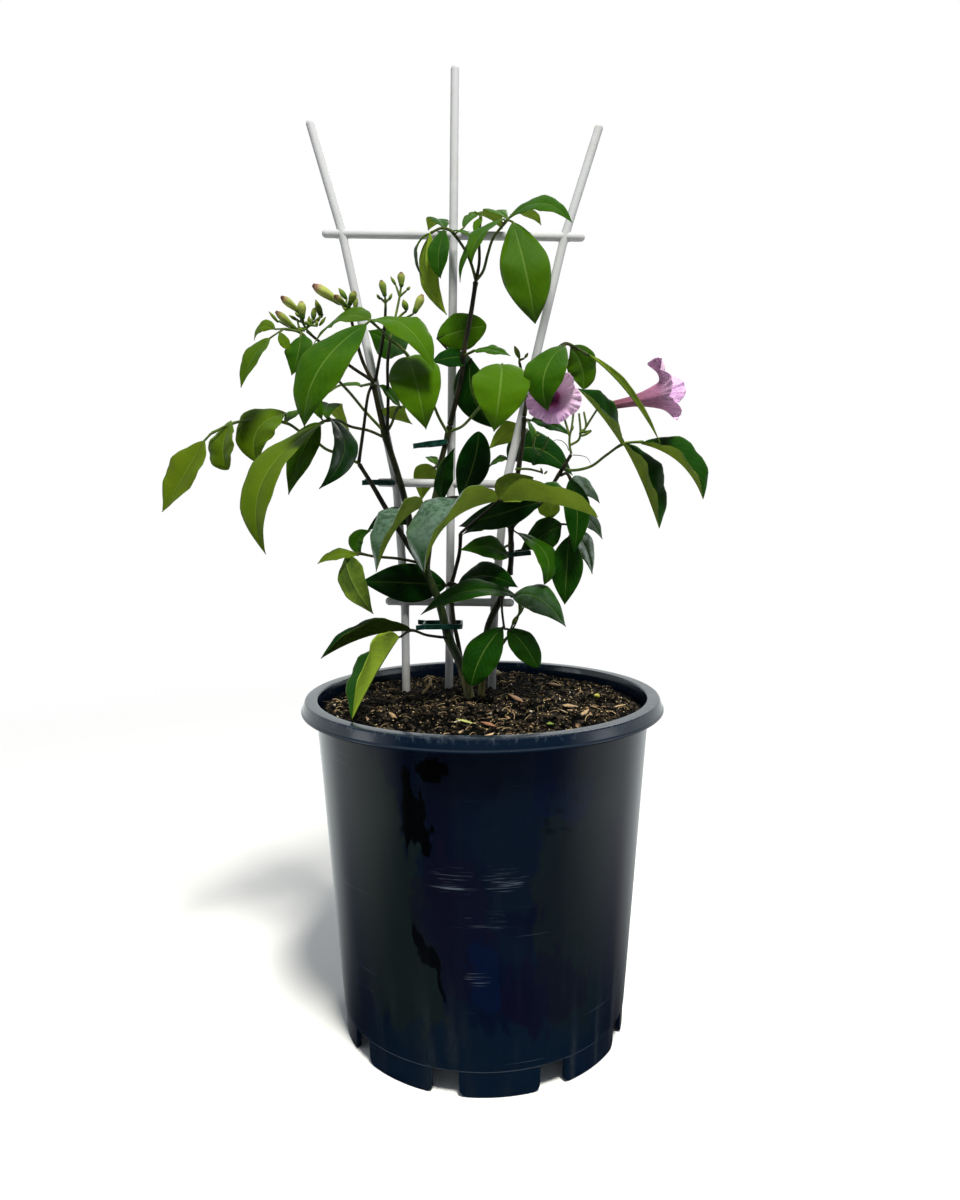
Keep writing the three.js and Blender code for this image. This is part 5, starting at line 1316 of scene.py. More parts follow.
def bladeMesh(blade, seed, heart):  # one leaflet's points, faces and what its material reads
    s = bladeShape
    start, past, tip = [np.array(blade[k], float) for k in ("start", "past", "tip")]
    bend = 2 * past - 0.5 * start - 0.5 * tip
    even = np.linspace(0, 1, s["rows"])[:, None]
    ts = 0.4 * even + 0.3 * (1 - np.cos(math.pi * even))
    centres = start * (1 - ts) ** 2 + bend * 2 * ts * (1 - ts) + tip * ts * ts
    tangents = 2 * (1 - ts) * (bend - start) + 2 * ts * (tip - bend)
    tangents /= np.linalg.norm(tangents, axis=1)[:, None]
    rows, half = len(ts), len(ts) // 2
    normals = np.zeros_like(centres)
    normals[half] = np.array(blade["face"], float)
    order = [(half, half), *((i, i - 1) for i in range(half + 1, rows))]
    order += [(i, i + 1) for i in range(half - 1, -1, -1)]
    for i, source in order:
        n = normals[source] - tangents[i] * normals[source].dot(tangents[i])
        normals[i] = n / np.linalg.norm(n)
    sides = np.cross(tangents, normals)

    q = np.array([-c for c in reversed(s["across"][1:])] + list(s["across"]))
    a, b = math.radians(blade["fold"]), math.radians(s["roll"])
    out = np.sign(q) * (math.sin(a) - np.sin(a - b * abs(q))) / b
    up = (np.cos(a - b * abs(q)) - math.cos(a)) / b
    turns = 1 if blade["width"] < 24 else 2
    phase = 2 * math.pi * s["waves"] * ts + abs(q) * turns * np.sign(q) ** 2
    wave = s["wave"] * abs(q) * np.sin(phase + 0.7 * np.sign(q) * np.sin(seed * 9.1))
    wave = wave + 0.018 * abs(q) * np.sin(phase * 2.7 + seed * 5)
    reach = np.array([max(blade["width"] / 2 * bladeOutline(float(t), heart, blade["blunt"]), s["neck"] / 2)
                      for t in ts[:, 0]])
    reach[-1] = 0.3
    reach = reach[:, None]
    sweep = -0.16 * reach * abs(q) ** 1.6 * (1 - ts) ** 6 * (2.4 if heart else 0.6)
    grid = (centres[:, None] + sides[:, None] * (out * reach)[..., None]
            + normals[:, None] * ((up + wave) * reach)[..., None] + tangents[:, None] * sweep[..., None])

    alongStep = np.gradient(grid, axis=0)
    acrossStep = np.gradient(grid, axis=1)
    skinUp = np.cross(acrossStep, alongStep) * -1
    skinUp /= np.maximum(np.linalg.norm(skinUp, axis=2), 1e-9)[..., None]
    skinUp *= np.sign((skinUp * normals[:, None]).sum(axis=2))[..., None]
    lean = 1 - 0.55 * abs(q) ** 6
    skin = s["thickness"] / 2 * lean * np.minimum(1, 0.35 + 3 * (1 - ts))
    ridge = np.exp(-(abs(q) * reach / s["ribWidth"]) ** 2) * s["rib"] * (1 - 0.75 * ts)
    upper = grid + skinUp * (skin - ridge * 0.35)[..., None]
    lower = grid - skinUp * (skin + ridge * 0.8)[..., None]
    points = np.concatenate([upper.reshape(-1, 3), lower.reshape(-1, 3)])

    n, shift = len(q), rows * len(q)
    faces = []
    for i in range(rows - 1):
        for k in range(n - 1):
            u = [i * n + k, i * n + k + 1, (i + 1) * n + k + 1, (i + 1) * n + k]
            faces.append(u)
            faces.append([v + shift for v in reversed(u)])
        for k, turned in ((0, False), (n - 1, True)):
            rim = [i * n + k, (i + 1) * n + k, (i + 1) * n + k + shift, i * n + k + shift]
            faces.append(rim[::-1] if turned else rim)
    for k in range(n - 1):
        faces.append([k, k + shift, k + 1 + shift, k + 1])
        e = (rows - 1) * n + k
        faces.append([e, e + 1, e + 1 + shift, e + shift])
    uv = np.stack(np.broadcast_arrays(q[None], ts), axis=2).reshape(-1, 2)
    return dict(points=points, faces=faces, uv=np.concatenate([uv, uv]), count=2 * shift,
                under=np.repeat([0.0, 1.0], shift), tangent=tangents[0])


# dark, middle and fresh run from leaflets in painted shade through to fresh sunlit ones; underDark is an
# underside in painted shade
leafColour = dict(
    dark=(0.0006, 0.0140, 0.0010), middle=(0.0080, 0.0520, 0.0010), fresh=(0.052, 0.140, 0.0010),
    olive=(0.078, 0.120, 0.0040), under=(0.200, 0.300, 0.024), underDark=(0.030, 0.060, 0.007),
    # the grey-green after vein is a painted sheen, a reflection of the sky on polished leaflets
    vein=(0.15, 0.25, 0.045), paintedSheen=(0.150, 0.260, 0.190), light=(0.27, 0.46, 0.02),
    edge=(0.16, 0.22, 0.05), blemish=(0.12, 0.075, 0.025),
)


def makeLeafMaterial():
    material, start = newMaterial("glossyVineLeaf")
    c = leafColour
    spot = spotOn(start)
    place = axesOf(start.node("ShaderNodeUVMap", {"uv_map": "blade"}))
    across, along = abs(place), place.out("Y")
    read = ("under", "tone", "warm", "gloss", "seed")
    under, tone, warm, gloss, seed = [attributeOf(start, name) for name in read]

    # the midrib, then nine or so pairs of side veins that curve forward to the edge
    midrib = eased(across, 0.060, 0.014)
    phase = (along - across * 0.26 - across * across * 0.10) * 9.5
    phase = phase + seed * 3 + place.math("SIGN", place) * 0.11
    saw = phase.math("PINGPONG", phase, 0.5) * 2
    veins = eased(saw, 0.13, 0.02) * eased(across, 1.0, 0.55) * eased(along, 0.98, 0.85)
    cells = {"Vector": spot, "Scale": 700.0}
    net = eased(start.node("ShaderNodeTexVoronoi", {"feature": "DISTANCE_TO_EDGE"}, cells), 0.09, 0.0)

    patches = cloudy(start, 70, 3, spot)
    mottled = cloudy(start, 420, 3, spot)
    # tone carries each leaflet's freshness together with its painted shade and sunlight
    shade = tone + (patches - 0.5) * 0.35 + (mottled - 0.5) * 0.16 + eased(across, 0.6, 1.0) * 0.05
    top = ramp(shade, (0.0, c["dark"]), (0.45, c["middle"]), (0.95, c["fresh"]))
    top = colourMix(warm * eased(shade, 0.1, 0.8), top, c["olive"])
    top = colourMix(midrib * (tone * 0.30 + 0.24) + veins * 0.09, top, c["vein"])
    # a painted sheen: a pale reflection of the sky on polished leaflets, mottled and fading towards the tip
    paintedSheen = eased(mottled, 0.38, 0.64) * 0.65 + 0.15
    paintedSheen = paintedSheen * (eased(along + mottled * 0.3, 1.05, 0.45) * 0.8 + 0.2)
    top = colourMix(eased(gloss, 0.4, 1.0) * paintedSheen * 0.55, top, c["paintedSheen"])
    # the underside darkens with tone too, as painted shade
    bottom = colourMix(eased(shade, -0.12, 0.30), c["underDark"], c["under"])
    bottom = colourMix(midrib * 0.5 + veins * 0.22 + net * 0.08, bottom, c["vein"])
    blemish = eased(cloudy(start, 240, 4, spot), 0.70, 0.76) * eased(cloudy(start, 30, 2, spot), 0.45, 0.6)
    edge = eased(across, 0.93, 1.0)
    colour = colourMix(under, top, bottom)
    colour = colourMix(edge * 0.25, colour, c["edge"])
    colour = colourMix(blemish * 0.5, colour, c["blemish"])
    rough = under * 0.22 + 0.36 + mottled * 0.14 + blemish * 0.2
    height = 1 - veins * 0.35 - midrib * 0.8 + (mottled - 0.5) * 0.5 + (saw - 0.5) * 0.22
    height = height - under * (height * 1.6)
    bump = bumpFrom(height, 0.00030, 0.6)
    polish = (gloss * 0.97 + 0.03) * (1 - under)
    finishMaterial(start, {"Base Color": colour, "Roughness": rough, "Normal": bump,
                           "Specular IOR Level": 0.07, "Coat Weight": polish, "Coat Roughness": 0.26,
                           "Coat IOR": 1.8}, glow=c["light"], glowShare=tone * 0.26 + 0.05)
    return material


leafSkin = makeLeafMaterial()


def makeFronds():
    for count, (name, frond) in enumerate(fronds.items()):
        stalk = smoothPath(frond["stalk"], 8)
        points, faces, uv, under, seed = [], [], [], [], []
        looks = {"tone": [], "warm": [], "gloss": []}
        routes, joints = [], []
        for index, blade in enumerate(frond["leaflets"]):
            draw = random.Random(count * 31 + index)
            made = bladeMesh(blade, draw.random(), (name, index) in heartBased)
            addTo(points, faces, made["points"].tolist(), made["faces"])
            uv += made["uv"].tolist()
            under += made["under"].tolist()
            for look, values in looks.items():
                values += [blade[look]] * made["count"]
            seed += [draw.random()] * made["count"]
            base, forward = Vector(blade["start"]), Vector(made["tangent"])
            joint = min(stalk, key=lambda p: (p - base).length)
            joints.append(joint)
            r = bladeShape["petioluleRadius"] * (0.75 if blade["width"] < 16 else 1.0)
            through = [joint, joint.lerp(base, 0.5), base, base + forward * 2.5, base + forward * 5]
            if (base - joint).length < 0.6:
                through = [base - forward, base, base + forward * 2.5, base + forward * 5]
            routes.append(([*through], [r * 1.25, r, r * 1.1, r * 0.7, r * 0.3][-len(through):]))
        radii = bulged(stalk, list(np.linspace(0.9, 0.72, len(stalk))), joints)
        routes.append(domed([stalk[0] + (stalk[0] - stalk[1]).normalized() * 0.6, *stalk[1:]], radii))
        blades = newPiece(name.replace("leaf-", "frond-"), points, faces, leafSkin,
                          dict(under=under, seed=seed, **looks), uv)
        # a stalk takes the mean tone of its leaflets, with their painted shade and sunlight
        tones = [blade["tone"] for blade in frond["leaflets"]]
        stalkTone = frond.get("stalkTone", sum(tones) / len(tones))
        joinPieces(blades, rods(name + "-stalks", routes, bark, 8, stalkTone))
        settle(blades, "leaf", name)


makeFronds()
print("leaves are out")

# Heads, each with its twigs and its buds as base, tip and girth
heads = {
    "buds-left-outer": dict(
        twigs=[
            [(-95, 14, 397), (-98, 12, 400), (-99, 8, 405)],
            [(-98, 12, 400), (-100, 8, 405), (-101, 8, 409)],
            [(-98, 12, 400), (-101, 8, 398), (-103, 5, 399)],
            [(-101, 8, 398), (-106, 9, 400), (-113, 10, 404)],
            [(-98, 12, 400), (-94, 15, 404), (-89, 18, 409)],
            [(-98, 12, 400), (-96, 16, 404), (-95, 18, 407)],
        ],
        buds=[
            ((-100, 8, 408), (-109, 0, 415), 5.2),
            ((-102, 5, 398), (-112, -1, 407), 4.8),
            ((-113, 10, 403), (-118, 9, 409), 2.2),
            ((-99, 8, 404), (-99, 6, 414), 5.4),
            ((-90, 18, 407), (-93, 17, 417), 4.2),
            ((-95, 18, 406), (-95, 20, 413), 2.8),
        ],
    ),
    "buds-left-inner": dict(
        twigs=[
            [(-73, 18, 408), (-74, 16, 411), (-75, 12, 412)],
            [(-74, 16, 411), (-77, 15, 413), (-79, 15, 414)],
            [(-74, 16, 411), (-73, 12, 412), (-73, 10, 413)],
            [(-74, 16, 411), (-76, 20, 415), (-76, 22, 418)],
            [(-74, 16, 411), (-72, 20, 412), (-71, 22, 414)],
        ],
        buds=[
            ((-78, 15, 414), (-93, 8, 423), 6.6),
            ((-75, 12, 412), (-80, 3, 416), 4.8),
            ((-73, 10, 412), (-69, 6, 419), 4.8),
            ((-76, 22, 418), (-81, 25, 425), 3.6),
            ((-71, 22, 413), (-71, 24, 420), 3.2),
        ],
    ),
    "buds-centre-left": dict(
        twigs=[
            [(-53, 14, 411), (-53, 13, 414), (-53, 12, 417)],
            [(-53, 13, 414), (-51, 12, 416)],
            [(-53, 13, 414), (-56, 14, 417)],
        ],
        buds=[
            ((-53, 12, 417), (-55, 11, 426), 4.6),
            ((-51, 12, 415), (-49, 12, 419), 2),
            ((-56, 14, 416), (-58, 14, 419), 2),
        ],
    ),
    "buds-centre-right": dict(
        twigs=[
            [(-49, -2, 392), (-47, 0, 401), (-44, 2, 415), (-43, 2, 421)],
            [(-44, 2, 415), (-46, 3, 421)],
            [(-44, 2, 415), (-40, 1, 418)],
            [(-47, 0, 401), (-41, 0, 403), (-36, -2, 405)],
            [(-47, 0, 401), (-43, 1, 405), (-40, 0, 407)],
        ],
        buds=[
            ((-43, 2, 420), (-43, 2, 428), 4.8),
            ((-46, 3, 421), (-49, 3, 426), 2),
            ((-40, 1, 418), (-38, 1, 420), 2),
            ((-36, -2, 405), (-31, -3, 415), 5.2),
            ((-40, 0, 407), (-42, 0, 413), 4),
        ],
    ),
    "buds-right": dict(
        twigs=[
            [(23, 27, 382), (23, 27, 384), (23, 26, 385)],
            [(23, 27, 384), (26, 26, 385)],
        ],
        buds=[
            ((23, 26, 385), (20, 25, 392), 3.4),
            ((26, 26, 385), (28, 25, 388), 2),
        ],
    ),
    "flower-spray": dict(
        twigs=[
            [(52, 12, 329), (51, 12, 334), (51, 12, 339), (52, 11, 344), (53, 10, 353)],
            [(51, 12, 339), (49, 18, 348), (46, 27, 360), (41, 32, 367)],
            [(51, 12, 334), (56, 11, 337), (57, 11, 341), (56, 10, 352)],
            [(57, 11, 341), (60, 11, 344), (59, 12, 353)],
            [(60, 11, 344), (63, 9, 349), (66, 5, 354)],
            [(57, 11, 341), (63, 8, 342)],
        ],
        buds=[],
    ),
}
sprigs = {  # small buds and scales that crowd the heads, each with its twigs, in scene.py alone
    "sprig-left-outer": dict(
        twigs=[
            [(-98, 12, 400), (-96, 12, 402), (-94, 14, 406)],
            [(-96, 12, 402), (-92, 13, 402), (-92, 13, 404)],
            [(-96, 12, 402), (-102, 10, 404)], [(-98, 12, 400), (-101, 9, 400), (-102, 9, 404)],
        ],
        buds=[
            ((-94, 14, 405), (-93, 14, 412), 3.0), ((-102, 10, 404), (-107, 10, 407), 2.2),
            ((-101, 12, 406), (-104, 12, 409), 2.0),
            ((-91, 15, 402), (-87, 15, 407), 2.2), ((-98, 9, 398), (-103, 9, 400), 2.0),
            ((-102, 9, 403), (-102, 9, 405), 1.6), ((-96, 12, 402), (-96, 12, 407), 2.4),
            ((-92, 13, 401), (-92, 13, 405), 2.0), ((-95, 11, 401), (-98, 11, 404), 2.0),
            ((-92, 15, 404), (-90, 15, 408), 1.9),
        ],
    ),
    "sprig-left-inner": dict(
        twigs=[[(-73, 15, 409), (-74, 15, 410), (-76, 15, 412)], [(-73, 15, 409), (-71, 17, 412)]],
        buds=[
            ((-74, 15, 409), (-78, 15, 413), 2.0), ((-71, 17, 412), (-70, 17, 417), 2.8),
            ((-73, 12, 411), (-74, 12, 414), 1.8), ((-75, 17, 411), (-77, 18, 415), 2.0),
            ((-71, 14, 411), (-69, 13, 414), 1.8),
        ],
    ),
    "sprig-low-right": dict(
        twigs=[
            [(8, 14, 215), (14, 14, 222), (15, 14, 223), (18, 14, 230), (20, 14, 235)],
            [(20, 14, 234), (22, 14, 237), (22, 14, 243)], [(20, 14, 234), (22.6, 13, 238), (23.4, 13, 243)],
            [(20, 14, 234), (23.4, 15, 238), (25.2, 15, 242)],
        ],
        buds=[((18, 14, 230), (20.5, 14, 235.5), 2.6), ((16, 14, 225), (19, 14, 227), 1.5)],
    ),
    "sprig-spent-spray": dict(
        twigs=[
            [(57, 8, 339), (60, 8, 340), (63, 8, 342)], [(35, 27, 329), (31, 24, 334), (32, 24, 340)],
            [(36, 27, 331), (38, 26, 335), (40, 26, 340)], [(20, 20, 321), (28, 20, 321), (36, 20, 319)],
        ],
        buds=[
            ((58, 8, 339), (63, 8, 342), 1.6), ((56, 9, 340), (58, 9, 343), 1.4),
            ((52, 10, 342), (53, 10, 345), 1.4), ((44, 24, 346), (46, 24, 349), 2.6),
            ((32, 24, 340), (32, 24, 344), 1.8), ((32, 24, 341), (31, 24, 343), 1.4),
            ((32, 24, 340), (35, 24, 341), 1.4), ((36, 20, 318), (35, 20, 322), 1.6),
            ((37, 20, 318), (39, 19, 320), 1.4),
        ],
    ),
}
tendrils = dict(thick=0.30, thin=0.14, routes=[
    [(50.5, 12, 331), (49.3, 12, 334), (46.4, 12, 336.6), (42.6, 12, 337), (40.2, 12, 335)],
    [(52.6, 11, 328.5), (56.8, 11, 328.2), (60.7, 11, 327), (63.1, 11, 323.5)],
])


budShape = dict(  # a large bud is fullest near its blunt end, a small one at its middle
    large=[(0, 0.34), (0.06, 0.56), (0.18, 0.66), (0.20, 0.62), (0.36, 0.78), (0.55, 0.95), (0.68, 1.0),
           (0.80, 0.90), (0.90, 0.62), (0.97, 0.34)],
    small=[(0, 0.34), (0.08, 0.60), (0.22, 0.82), (0.42, 1.0), (0.60, 0.94), (0.78, 0.66), (0.90, 0.36),
           (0.975, 0.14)],
    largeFrom=4.4, slim=0.88, columns=20, rows=22, ridges=5, ridge=0.07,
)
twigSizes = dict(thick=0.74, thin=0.6, tone=0.7)


def aboutAxis(start, tip):  # the axis from start to tip, with two directions square to it
    axis = (Vector(tip) - Vector(start))
    length = axis.length
    axis = axis.normalized()
    over = (Vector((0, 0, 1)) - axis * axis.z)
    over = over.normalized() if over.length > 1e-3 else Vector((1, 0, 0))
    return Vector(start), axis, over, axis.cross(over), length


def spun(start, axis, over, across, rings):  # rings hold how far along, and a radius for each column
    points, faces = [start + axis * rings[0][0]], []
    count = len(rings[0][1])
    for along, radii in rings:
        for k, r in enumerate(radii):
            a = 2 * math.pi * k / count
            points.append(start + axis * along + (over * math.cos(a) + across * math.sin(a)) * r)
    points.append(start + axis * rings[-1][0])
    faces += [(0, 1 + (k + 1) % count, 1 + k) for k in range(count)]
    for i in range(len(rings) - 1):
        a, b = 1 + i * count, 1 + (i + 1) * count
        faces += [(a + k, a + (k + 1) % count, b + (k + 1) % count, b + k) for k in range(count)]
    a, last = 1 + (len(rings) - 1) * count, len(points) - 1
    faces += [(last, a + k, a + (k + 1) % count) for k in range(count)]
    return points, faces


def makeBudMaterial():
    material, start = newMaterial("ripeningBud")
    along, tint = attributeOf(start, "along"), attributeOf(start, "tint")
    streaks = cloudy(start, 650, 3, spotOn(start), (1, 1, 0.35))
    place = along + (streaks - 0.5) * 0.14 + (tint - 0.5) * 0.16
    ripe = ramp(
        place, (0.0, (0.030, 0.080, 0.005)), (0.22, (0.060, 0.125, 0.008)), (0.31, (0.24, 0.31, 0.055)),
        (0.76, (0.36, 0.41, 0.105)), (0.92, (0.30, 0.19, 0.115)), (1.0, (0.095, 0.035, 0.028)))
    green = ramp(
        place, (0.0, (0.020, 0.060, 0.004)), (0.5, (0.070, 0.130, 0.008)), (0.82, (0.110, 0.150, 0.014)),
        (1.0, (0.080, 0.045, 0.012)))
    colour = colourMix(attributeOf(start, "ripe"), green, ripe)
    bump = bumpFrom(streaks, 0.0003, 0.5)
    finishMaterial(start, {"Base Color": colour, "Roughness": 0.45 + streaks * 0.12, "Normal": bump,
                           "Specular IOR Level": 0.2}, glow=(0.40, 0.46, 0.08), glowShare=0.12)
    return material


def makeBuds(name, head, skin):
    points, faces, along, tint, ripe = [], [], [], [], []
    s = budShape
    for index, (start, tip, girth) in enumerate(head["buds"]):
        draw = random.Random(len(name) * 7 + index)
        origin, axis, over, across, length = aboutAxis(start, tip)
        outline = s["large"] if girth > s["largeFrom"] else s["small"]
        rings = []
        for t in np.linspace(0, 0.985, s["rows"]):
            r = float(np.interp(t, *zip(*outline))) * girth * s["slim"] / 2
            ridge = s["ridge"] * math.sin(math.pi * min(1, t * 1.1))
            turn = 0.5 * t
            rings.append((t * length, [
                r * (1 + ridge * math.cos(s["ridges"] * (2 * math.pi * k / s["columns"] + turn)))
                for k in range(s["columns"])]))
        more, moreFaces = spun(origin, axis, over, across, rings)
        addTo(points, faces, more, moreFaces)
        along += [0.0] + [ring[0] / length for ring in rings for _ in range(s["columns"])] + [1.0]
        tint += [draw.random()] * len(more)
        ripe += [float(np.interp(girth, [4.4, 5.6], [0.15, 1]))] * len(more)
    routes = []
    for twig in head["twigs"]:
        path = smoothPath(twig, 6)
        routes.append(domed(path, list(np.linspace(twigSizes["thick"], twigSizes["thin"], len(path)))))
    twigs = rods(f"{name}-twigs", routes, bark, 8, twigSizes["tone"])
    if not head["buds"]:
        return twigs
    return joinPieces(newPiece(
        f"{name}-cluster", points, faces, skin, dict(along=along, tint=tint, ripe=ripe)), twigs)


# Flowers: a tube that widens into five crinkled lobes, veined, with a dark throat
flowers = {  # turn is where the first lobe stands from straight up; the lists then hold a value for each lobe
    # the lobes' bright values paint each lobe lit (near 1) or in shade (near 0)
    "flower-front": dict(
        start=(41, 27, 362), tip=(39.5, -8, 358.5), cut=0.86, turn=-28,
        trumpet=[(0, 1.9), (0.2, 2.4), (0.4, 3.1), (0.55, 3.9), (0.68, 5.2), (0.8, 7.2), (0.92, 9.6),
                 (1, 11.4)],
        lobes=(11.5, 11, 8.0, 6.0, 9.0), spread=(46, 56, 72, 112, 78), notch=(0.56, 0.56, 0.6, 0.8, 0.6),
        power=(0.8, 0.7, 0.7, 0.8, 0.7), bright=(0.3, 0.7, 1.0, 1.0, 0.4), twist=(0, 0, 0, 0, 0),
        ruffle=0.65),
    "flower-side": dict(
        start=(71, 3, 355), tip=(98, -5, 359.5), cut=1, turn=-5,
        trumpet=[(0, 1.9), (0.25, 2.2), (0.5, 2.7), (0.75, 4.2), (0.9, 5.6), (1, 6.8)],
        lobes=(15.5, 12, 14, 12, 17), spread=(124, 50, 44, 60, 42), notch=(0.62, 0.60, 0.60, 0.70, 0.60),
        power=(0.5, 0.6, 0.6, 0.6, 0.6), bright=(0.2, 0.2, 0.3, 0.6, 0.8), twist=(4.5, 0, 0, 0, 0),
        ruffle=0.25),
}
flowerShape = dict(tubeRows=24, lobeRows=22, perLobe=40, thickness=0.4, calyxColumns=24)
calyxRings = [(-6.6, 0.85), (-5.4, 1.3), (-3.6, 2.15), (-1.8, 2.7), (-0.3, 2.85), (1.2, 2.75), (1.9, 2.45)]


def makePetalMaterial():
    material, start = newMaterial("pinkPetal")
    inside, reach, sweep, bright = [attributeOf(start, k) for k in ("inside", "reach", "sweep", "bright")]
    spot = spotOn(start)
    blotch = cloudy(start, 160, 4, spot)
    fan = sweep * 52 + (cloudy(start, 120, 3, spot) - 0.5) * 7
    lines = eased(fan.math("PINGPONG", fan, 0.5) * 2, 0.42, 0.0)
    crumple = cloudy(start, 560, 3, spot)
    deep = reach + (blotch - 0.5) * 0.10
    # painted light and shade per lobe: lit lobes are painted lilac, shaded ones mauve-grey
    petal = colourMix(bright + (blotch - 0.5) * 0.3, (0.88, 0.66, 0.80), (0.90, 0.53, 0.96))
    throat = ramp(
        deep, (0.0, (0.14, 0.001, 0.024)), (0.24, (0.30, 0.002, 0.070)), (0.33, (0.44, 0.02, 0.16)),
        (0.38, (0.62, 0.34, 0.46)))
    back = ramp(
        deep, (0.0, (0.20, 0.115, 0.085)), (0.15, (0.28, 0.12, 0.15)), (0.5, (0.40, 0.20, 0.29)),
        (0.75, (0.58, 0.36, 0.51)), (1.0, (0.68, 0.44, 0.65)))
    colour = colourMix(inside, back, colourMix(eased(deep, 0.34, 0.44), throat, petal))
    # the veins fade where a lobe is painted lit
    veined = lines * eased(reach, 1.0, 0.30) * (0.62 - bright * 0.17)
    colour = colourMix(veined, colour, (0.34, 0.05, 0.22))
    # a painted highlight on the crinkles of the lobes' inner faces
    pale = eased(crumple, 0.50, 0.68) * eased(reach, 0.5, 0.8) * inside * 0.4
    colour = colourMix(pale, colour, (0.98, 0.86, 1.0))
    bump = bumpFrom(blotch + lines * 0.35 + crumple * 0.6, 0.0006, 0.7)
    finishMaterial(start, {"Base Color": colour, "Roughness": 0.52 + blotch * 0.12, "Normal": bump,
                           "Specular IOR Level": 0.25}, glow=(0.74, 0.38, 0.72), glowShare=0.26)
    return material


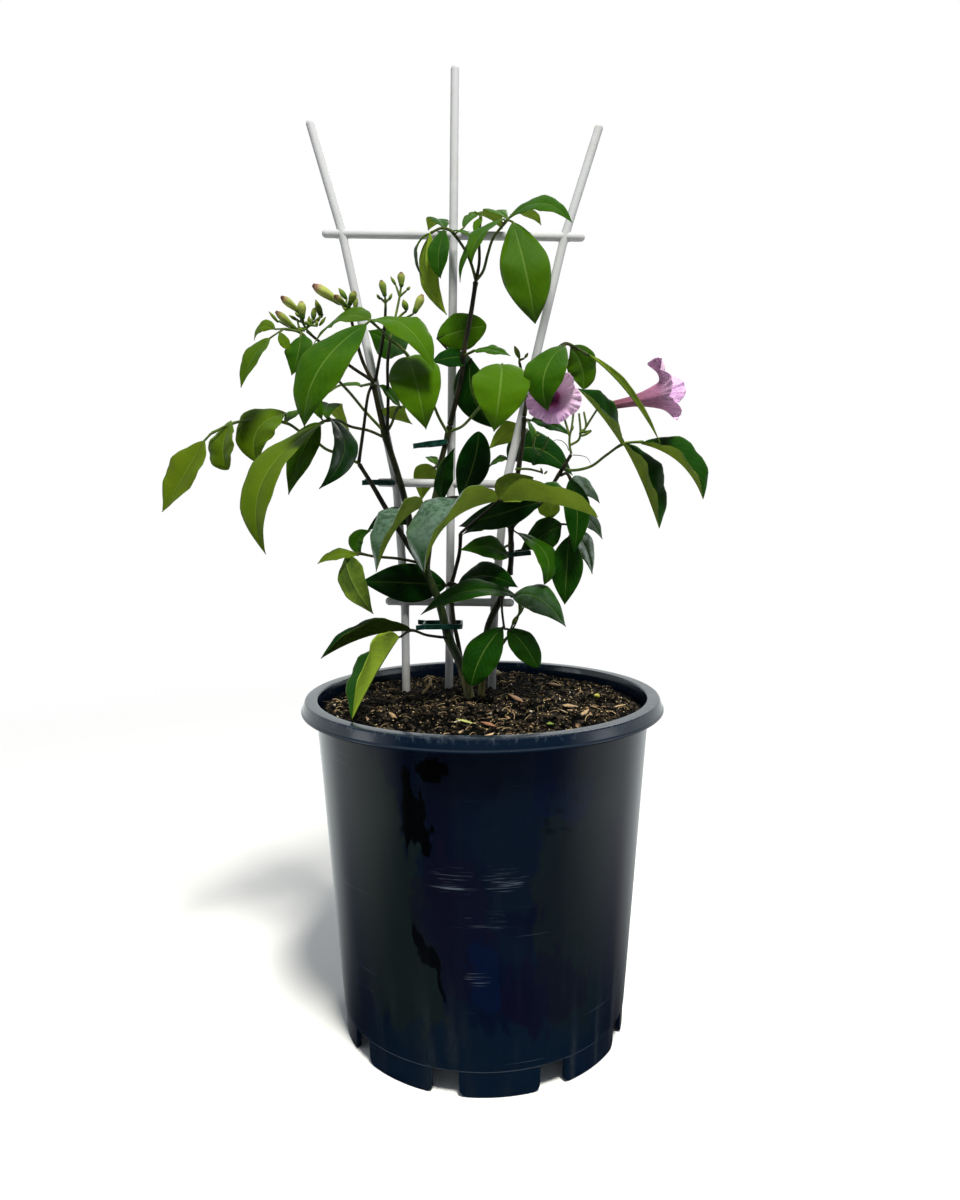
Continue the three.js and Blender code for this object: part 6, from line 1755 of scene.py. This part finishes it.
def flowerMesh(flower):
    s = flowerShape
    start, axis, over, across, length = aboutAxis(flower["start"], flower["tip"])
    start, axis, over, across = [np.array(tuple(v)) for v in (start, axis, over, across)]
    count = len(flower["lobes"])
    columns = s["perLobe"] * count
    place = np.arange(columns) / s["perLobe"]
    own = np.floor(place + 0.5).astype(int)
    phase = place - own
    beside = own + np.where(phase < 0, -1, 1)
    share = 0.5 * np.clip((abs(phase) - 0.15) / 0.35, 0, 1) ** 1.3  # how far the next lobe has a say

    def ofLobe(key):
        values = np.array(flower[key], float)
        return values[own % count] * (1 - share) + values[beside % count] * share

    # first the tube, then the lobes stepped outward from its mouth
    tube = np.linspace(0, flower["cut"], s["tubeRows"])
    girth = np.interp(tube, *zip(*flower["trumpet"]))
    first = math.degrees(math.atan2(girth[-1] - girth[-2], (tube[-1] - tube[-2]) * length))
    late = ((np.arange(s["lobeRows"]) + 0.75) / s["lobeRows"])[:, None]
    lean = np.radians(first + (ofLobe("spread") - first) * np.minimum(1, late * 1.35) ** 0.8)
    notch = ofLobe("notch")
    full = notch + (1 - notch) * abs(np.cos(np.pi * phase)) ** ofLobe("power")
    step = ofLobe("lobes") * full / s["lobeRows"]
    along = np.repeat(tube[:, None] * length, columns, axis=1)
    radius = np.repeat(girth[:, None], columns, axis=1)
    along = np.vstack([along, along[-1] + np.cumsum(np.cos(lean) * step, axis=0)])
    radius = np.vstack([radius, radius[-1] + np.cumsum(np.sin(lean) * step, axis=0)])
    reach = np.concatenate([np.linspace(0, 0.5, s["tubeRows"]), 0.5 + 0.5 * late[:, 0]])

    # ruffled edges, a crease down each lobe and a five-sided tube
    rows, sweep = len(reach), 2 * math.pi * place / count
    flare = np.clip((reach - 0.45) / 0.55, 0, 1)[:, None]
    slope = np.vstack([np.full((s["tubeRows"], columns), math.radians(first)), lean])
    waves = np.sin(13 * sweep + 1.3) + 0.7 * np.sin(23 * sweep + 0.4) + 0.4 * np.sin(37 * sweep + 2.1)
    lift = flower["ruffle"] * flare ** 2.2 * waves - 0.6 * flare * np.exp(-(phase / 0.09) ** 2)
    lift = lift + 1.3 * flare * (1 - 2 * abs(phase)) ** 2
    lift = lift + 0.22 * np.cos(sweep * count) * (1 - flare)
    along, radius = along + lift * np.sin(slope), radius - lift * np.cos(slope)
    along = along + ofLobe("twist") * flare * np.sin(2 * math.pi * phase)
    a = sweep + math.radians(flower["turn"])
    skins = start + axis * along[..., None] + radius[..., None] * (
        over * np.cos(a)[:, None] + across * np.sin(a)[:, None])
    alongStep = np.gradient(skins, axis=0)
    aroundStep = np.roll(skins, -1, axis=1) - np.roll(skins, 1, axis=1)
    outward = np.cross(aroundStep, alongStep)
    outward /= np.maximum(np.linalg.norm(outward, axis=2), 1e-9)[..., None]
    centreLine = start + axis * ((skins - start) @ axis)[..., None]
    outward *= np.sign((outward[:4] * (skins - centreLine)[:4]).sum())
    half = s["thickness"] / 2 * np.linspace(1, 0.55, rows)[:, None, None]
    outer, inner = skins + outward * half, skins - outward * half
    points = [tuple(p) for p in np.concatenate([outer.reshape(-1, 3), inner.reshape(-1, 3)])]
    shift = rows * columns
    faces = []
    around = [(k, (k + 1) % columns) for k in range(columns)]
    for a in range(0, shift - columns, columns):
        for k, n in around:
            u = (a + k, a + n, a + columns + n, a + columns + k)
            faces += [u, tuple(v + shift for v in reversed(u))]
    e = shift - columns
    faces += [(e + k, e + n, e + n + shift, e + k + shift) for k, n in around]
    points += [tuple(start - axis * 0.15), tuple(start + axis * 0.3)]
    for k, n in around:
        faces += [(2 * shift, n, k), (2 * shift + 1, shift + k, shift + n)]
    ends = [0.0, 0.0]
    attributes = dict(
        inside=[0.0] * shift + [1.0] * shift + [0.0, 1.0], reach=list(np.repeat(reach, columns)) * 2 + ends,
        sweep=list(np.tile(place / count, rows)) * 2 + ends,
        bright=list(np.tile(ofLobe("bright"), rows)) * 2 + ends)
    return points, faces, attributes


def makeCalyx(flower, skin, name):
    columns, rings = flowerShape["calyxColumns"], []
    for along, radius in calyxRings:
        late = max(0, (along + 1) / 3)
        rings.append((along, [radius * (1 - 0.05 * late * (1 + math.cos(5 * 2 * math.pi * k / columns)))
                              for k in range(columns)]))
    points, faces = spun(*aboutAxis(flower["start"], flower["tip"])[:4], rings)
    along = [0.0] + [0.18 + 0.02 * i for i, _ in enumerate(rings) for _ in range(columns)] + [0.3]
    count = len(points)
    return newPiece(name, points, faces, skin, dict(along=along, tint=[0.4] * count, ripe=[0.3] * count))


def makeHeads():
    budSkin, petal = makeBudMaterial(), makePetalMaterial()
    for name, head in heads.items():
        piece = makeBuds(name, head, budSkin)
        if name == "flower-spray":
            for label, flower in flowers.items():
                joinPieces(piece, makeCalyx(flower, budSkin, label + "-calyx"))
            settle(piece, "stem", name)
        else:
            settle(piece, "bud", name)
    for name, sprig in sprigs.items():
        settle(makeBuds(name, sprig, budSkin), "bud")
    routes = []
    for route in tendrils["routes"]:
        path = smoothPath(route, 10)
        routes.append((path, list(np.linspace(tendrils["thick"], tendrils["thin"], len(path)))))
    settle(rods("tendrils", routes, bark, 6, 0.5), "stem")
    for name, flower in flowers.items():
        points, faces, attributes = flowerMesh(flower)
        corolla = newPiece(name.replace("flower-", "corolla-"), points, faces, petal, attributes)
        settle(corolla, "petal", name)


makeHeads()
print("buds and flowers are open")
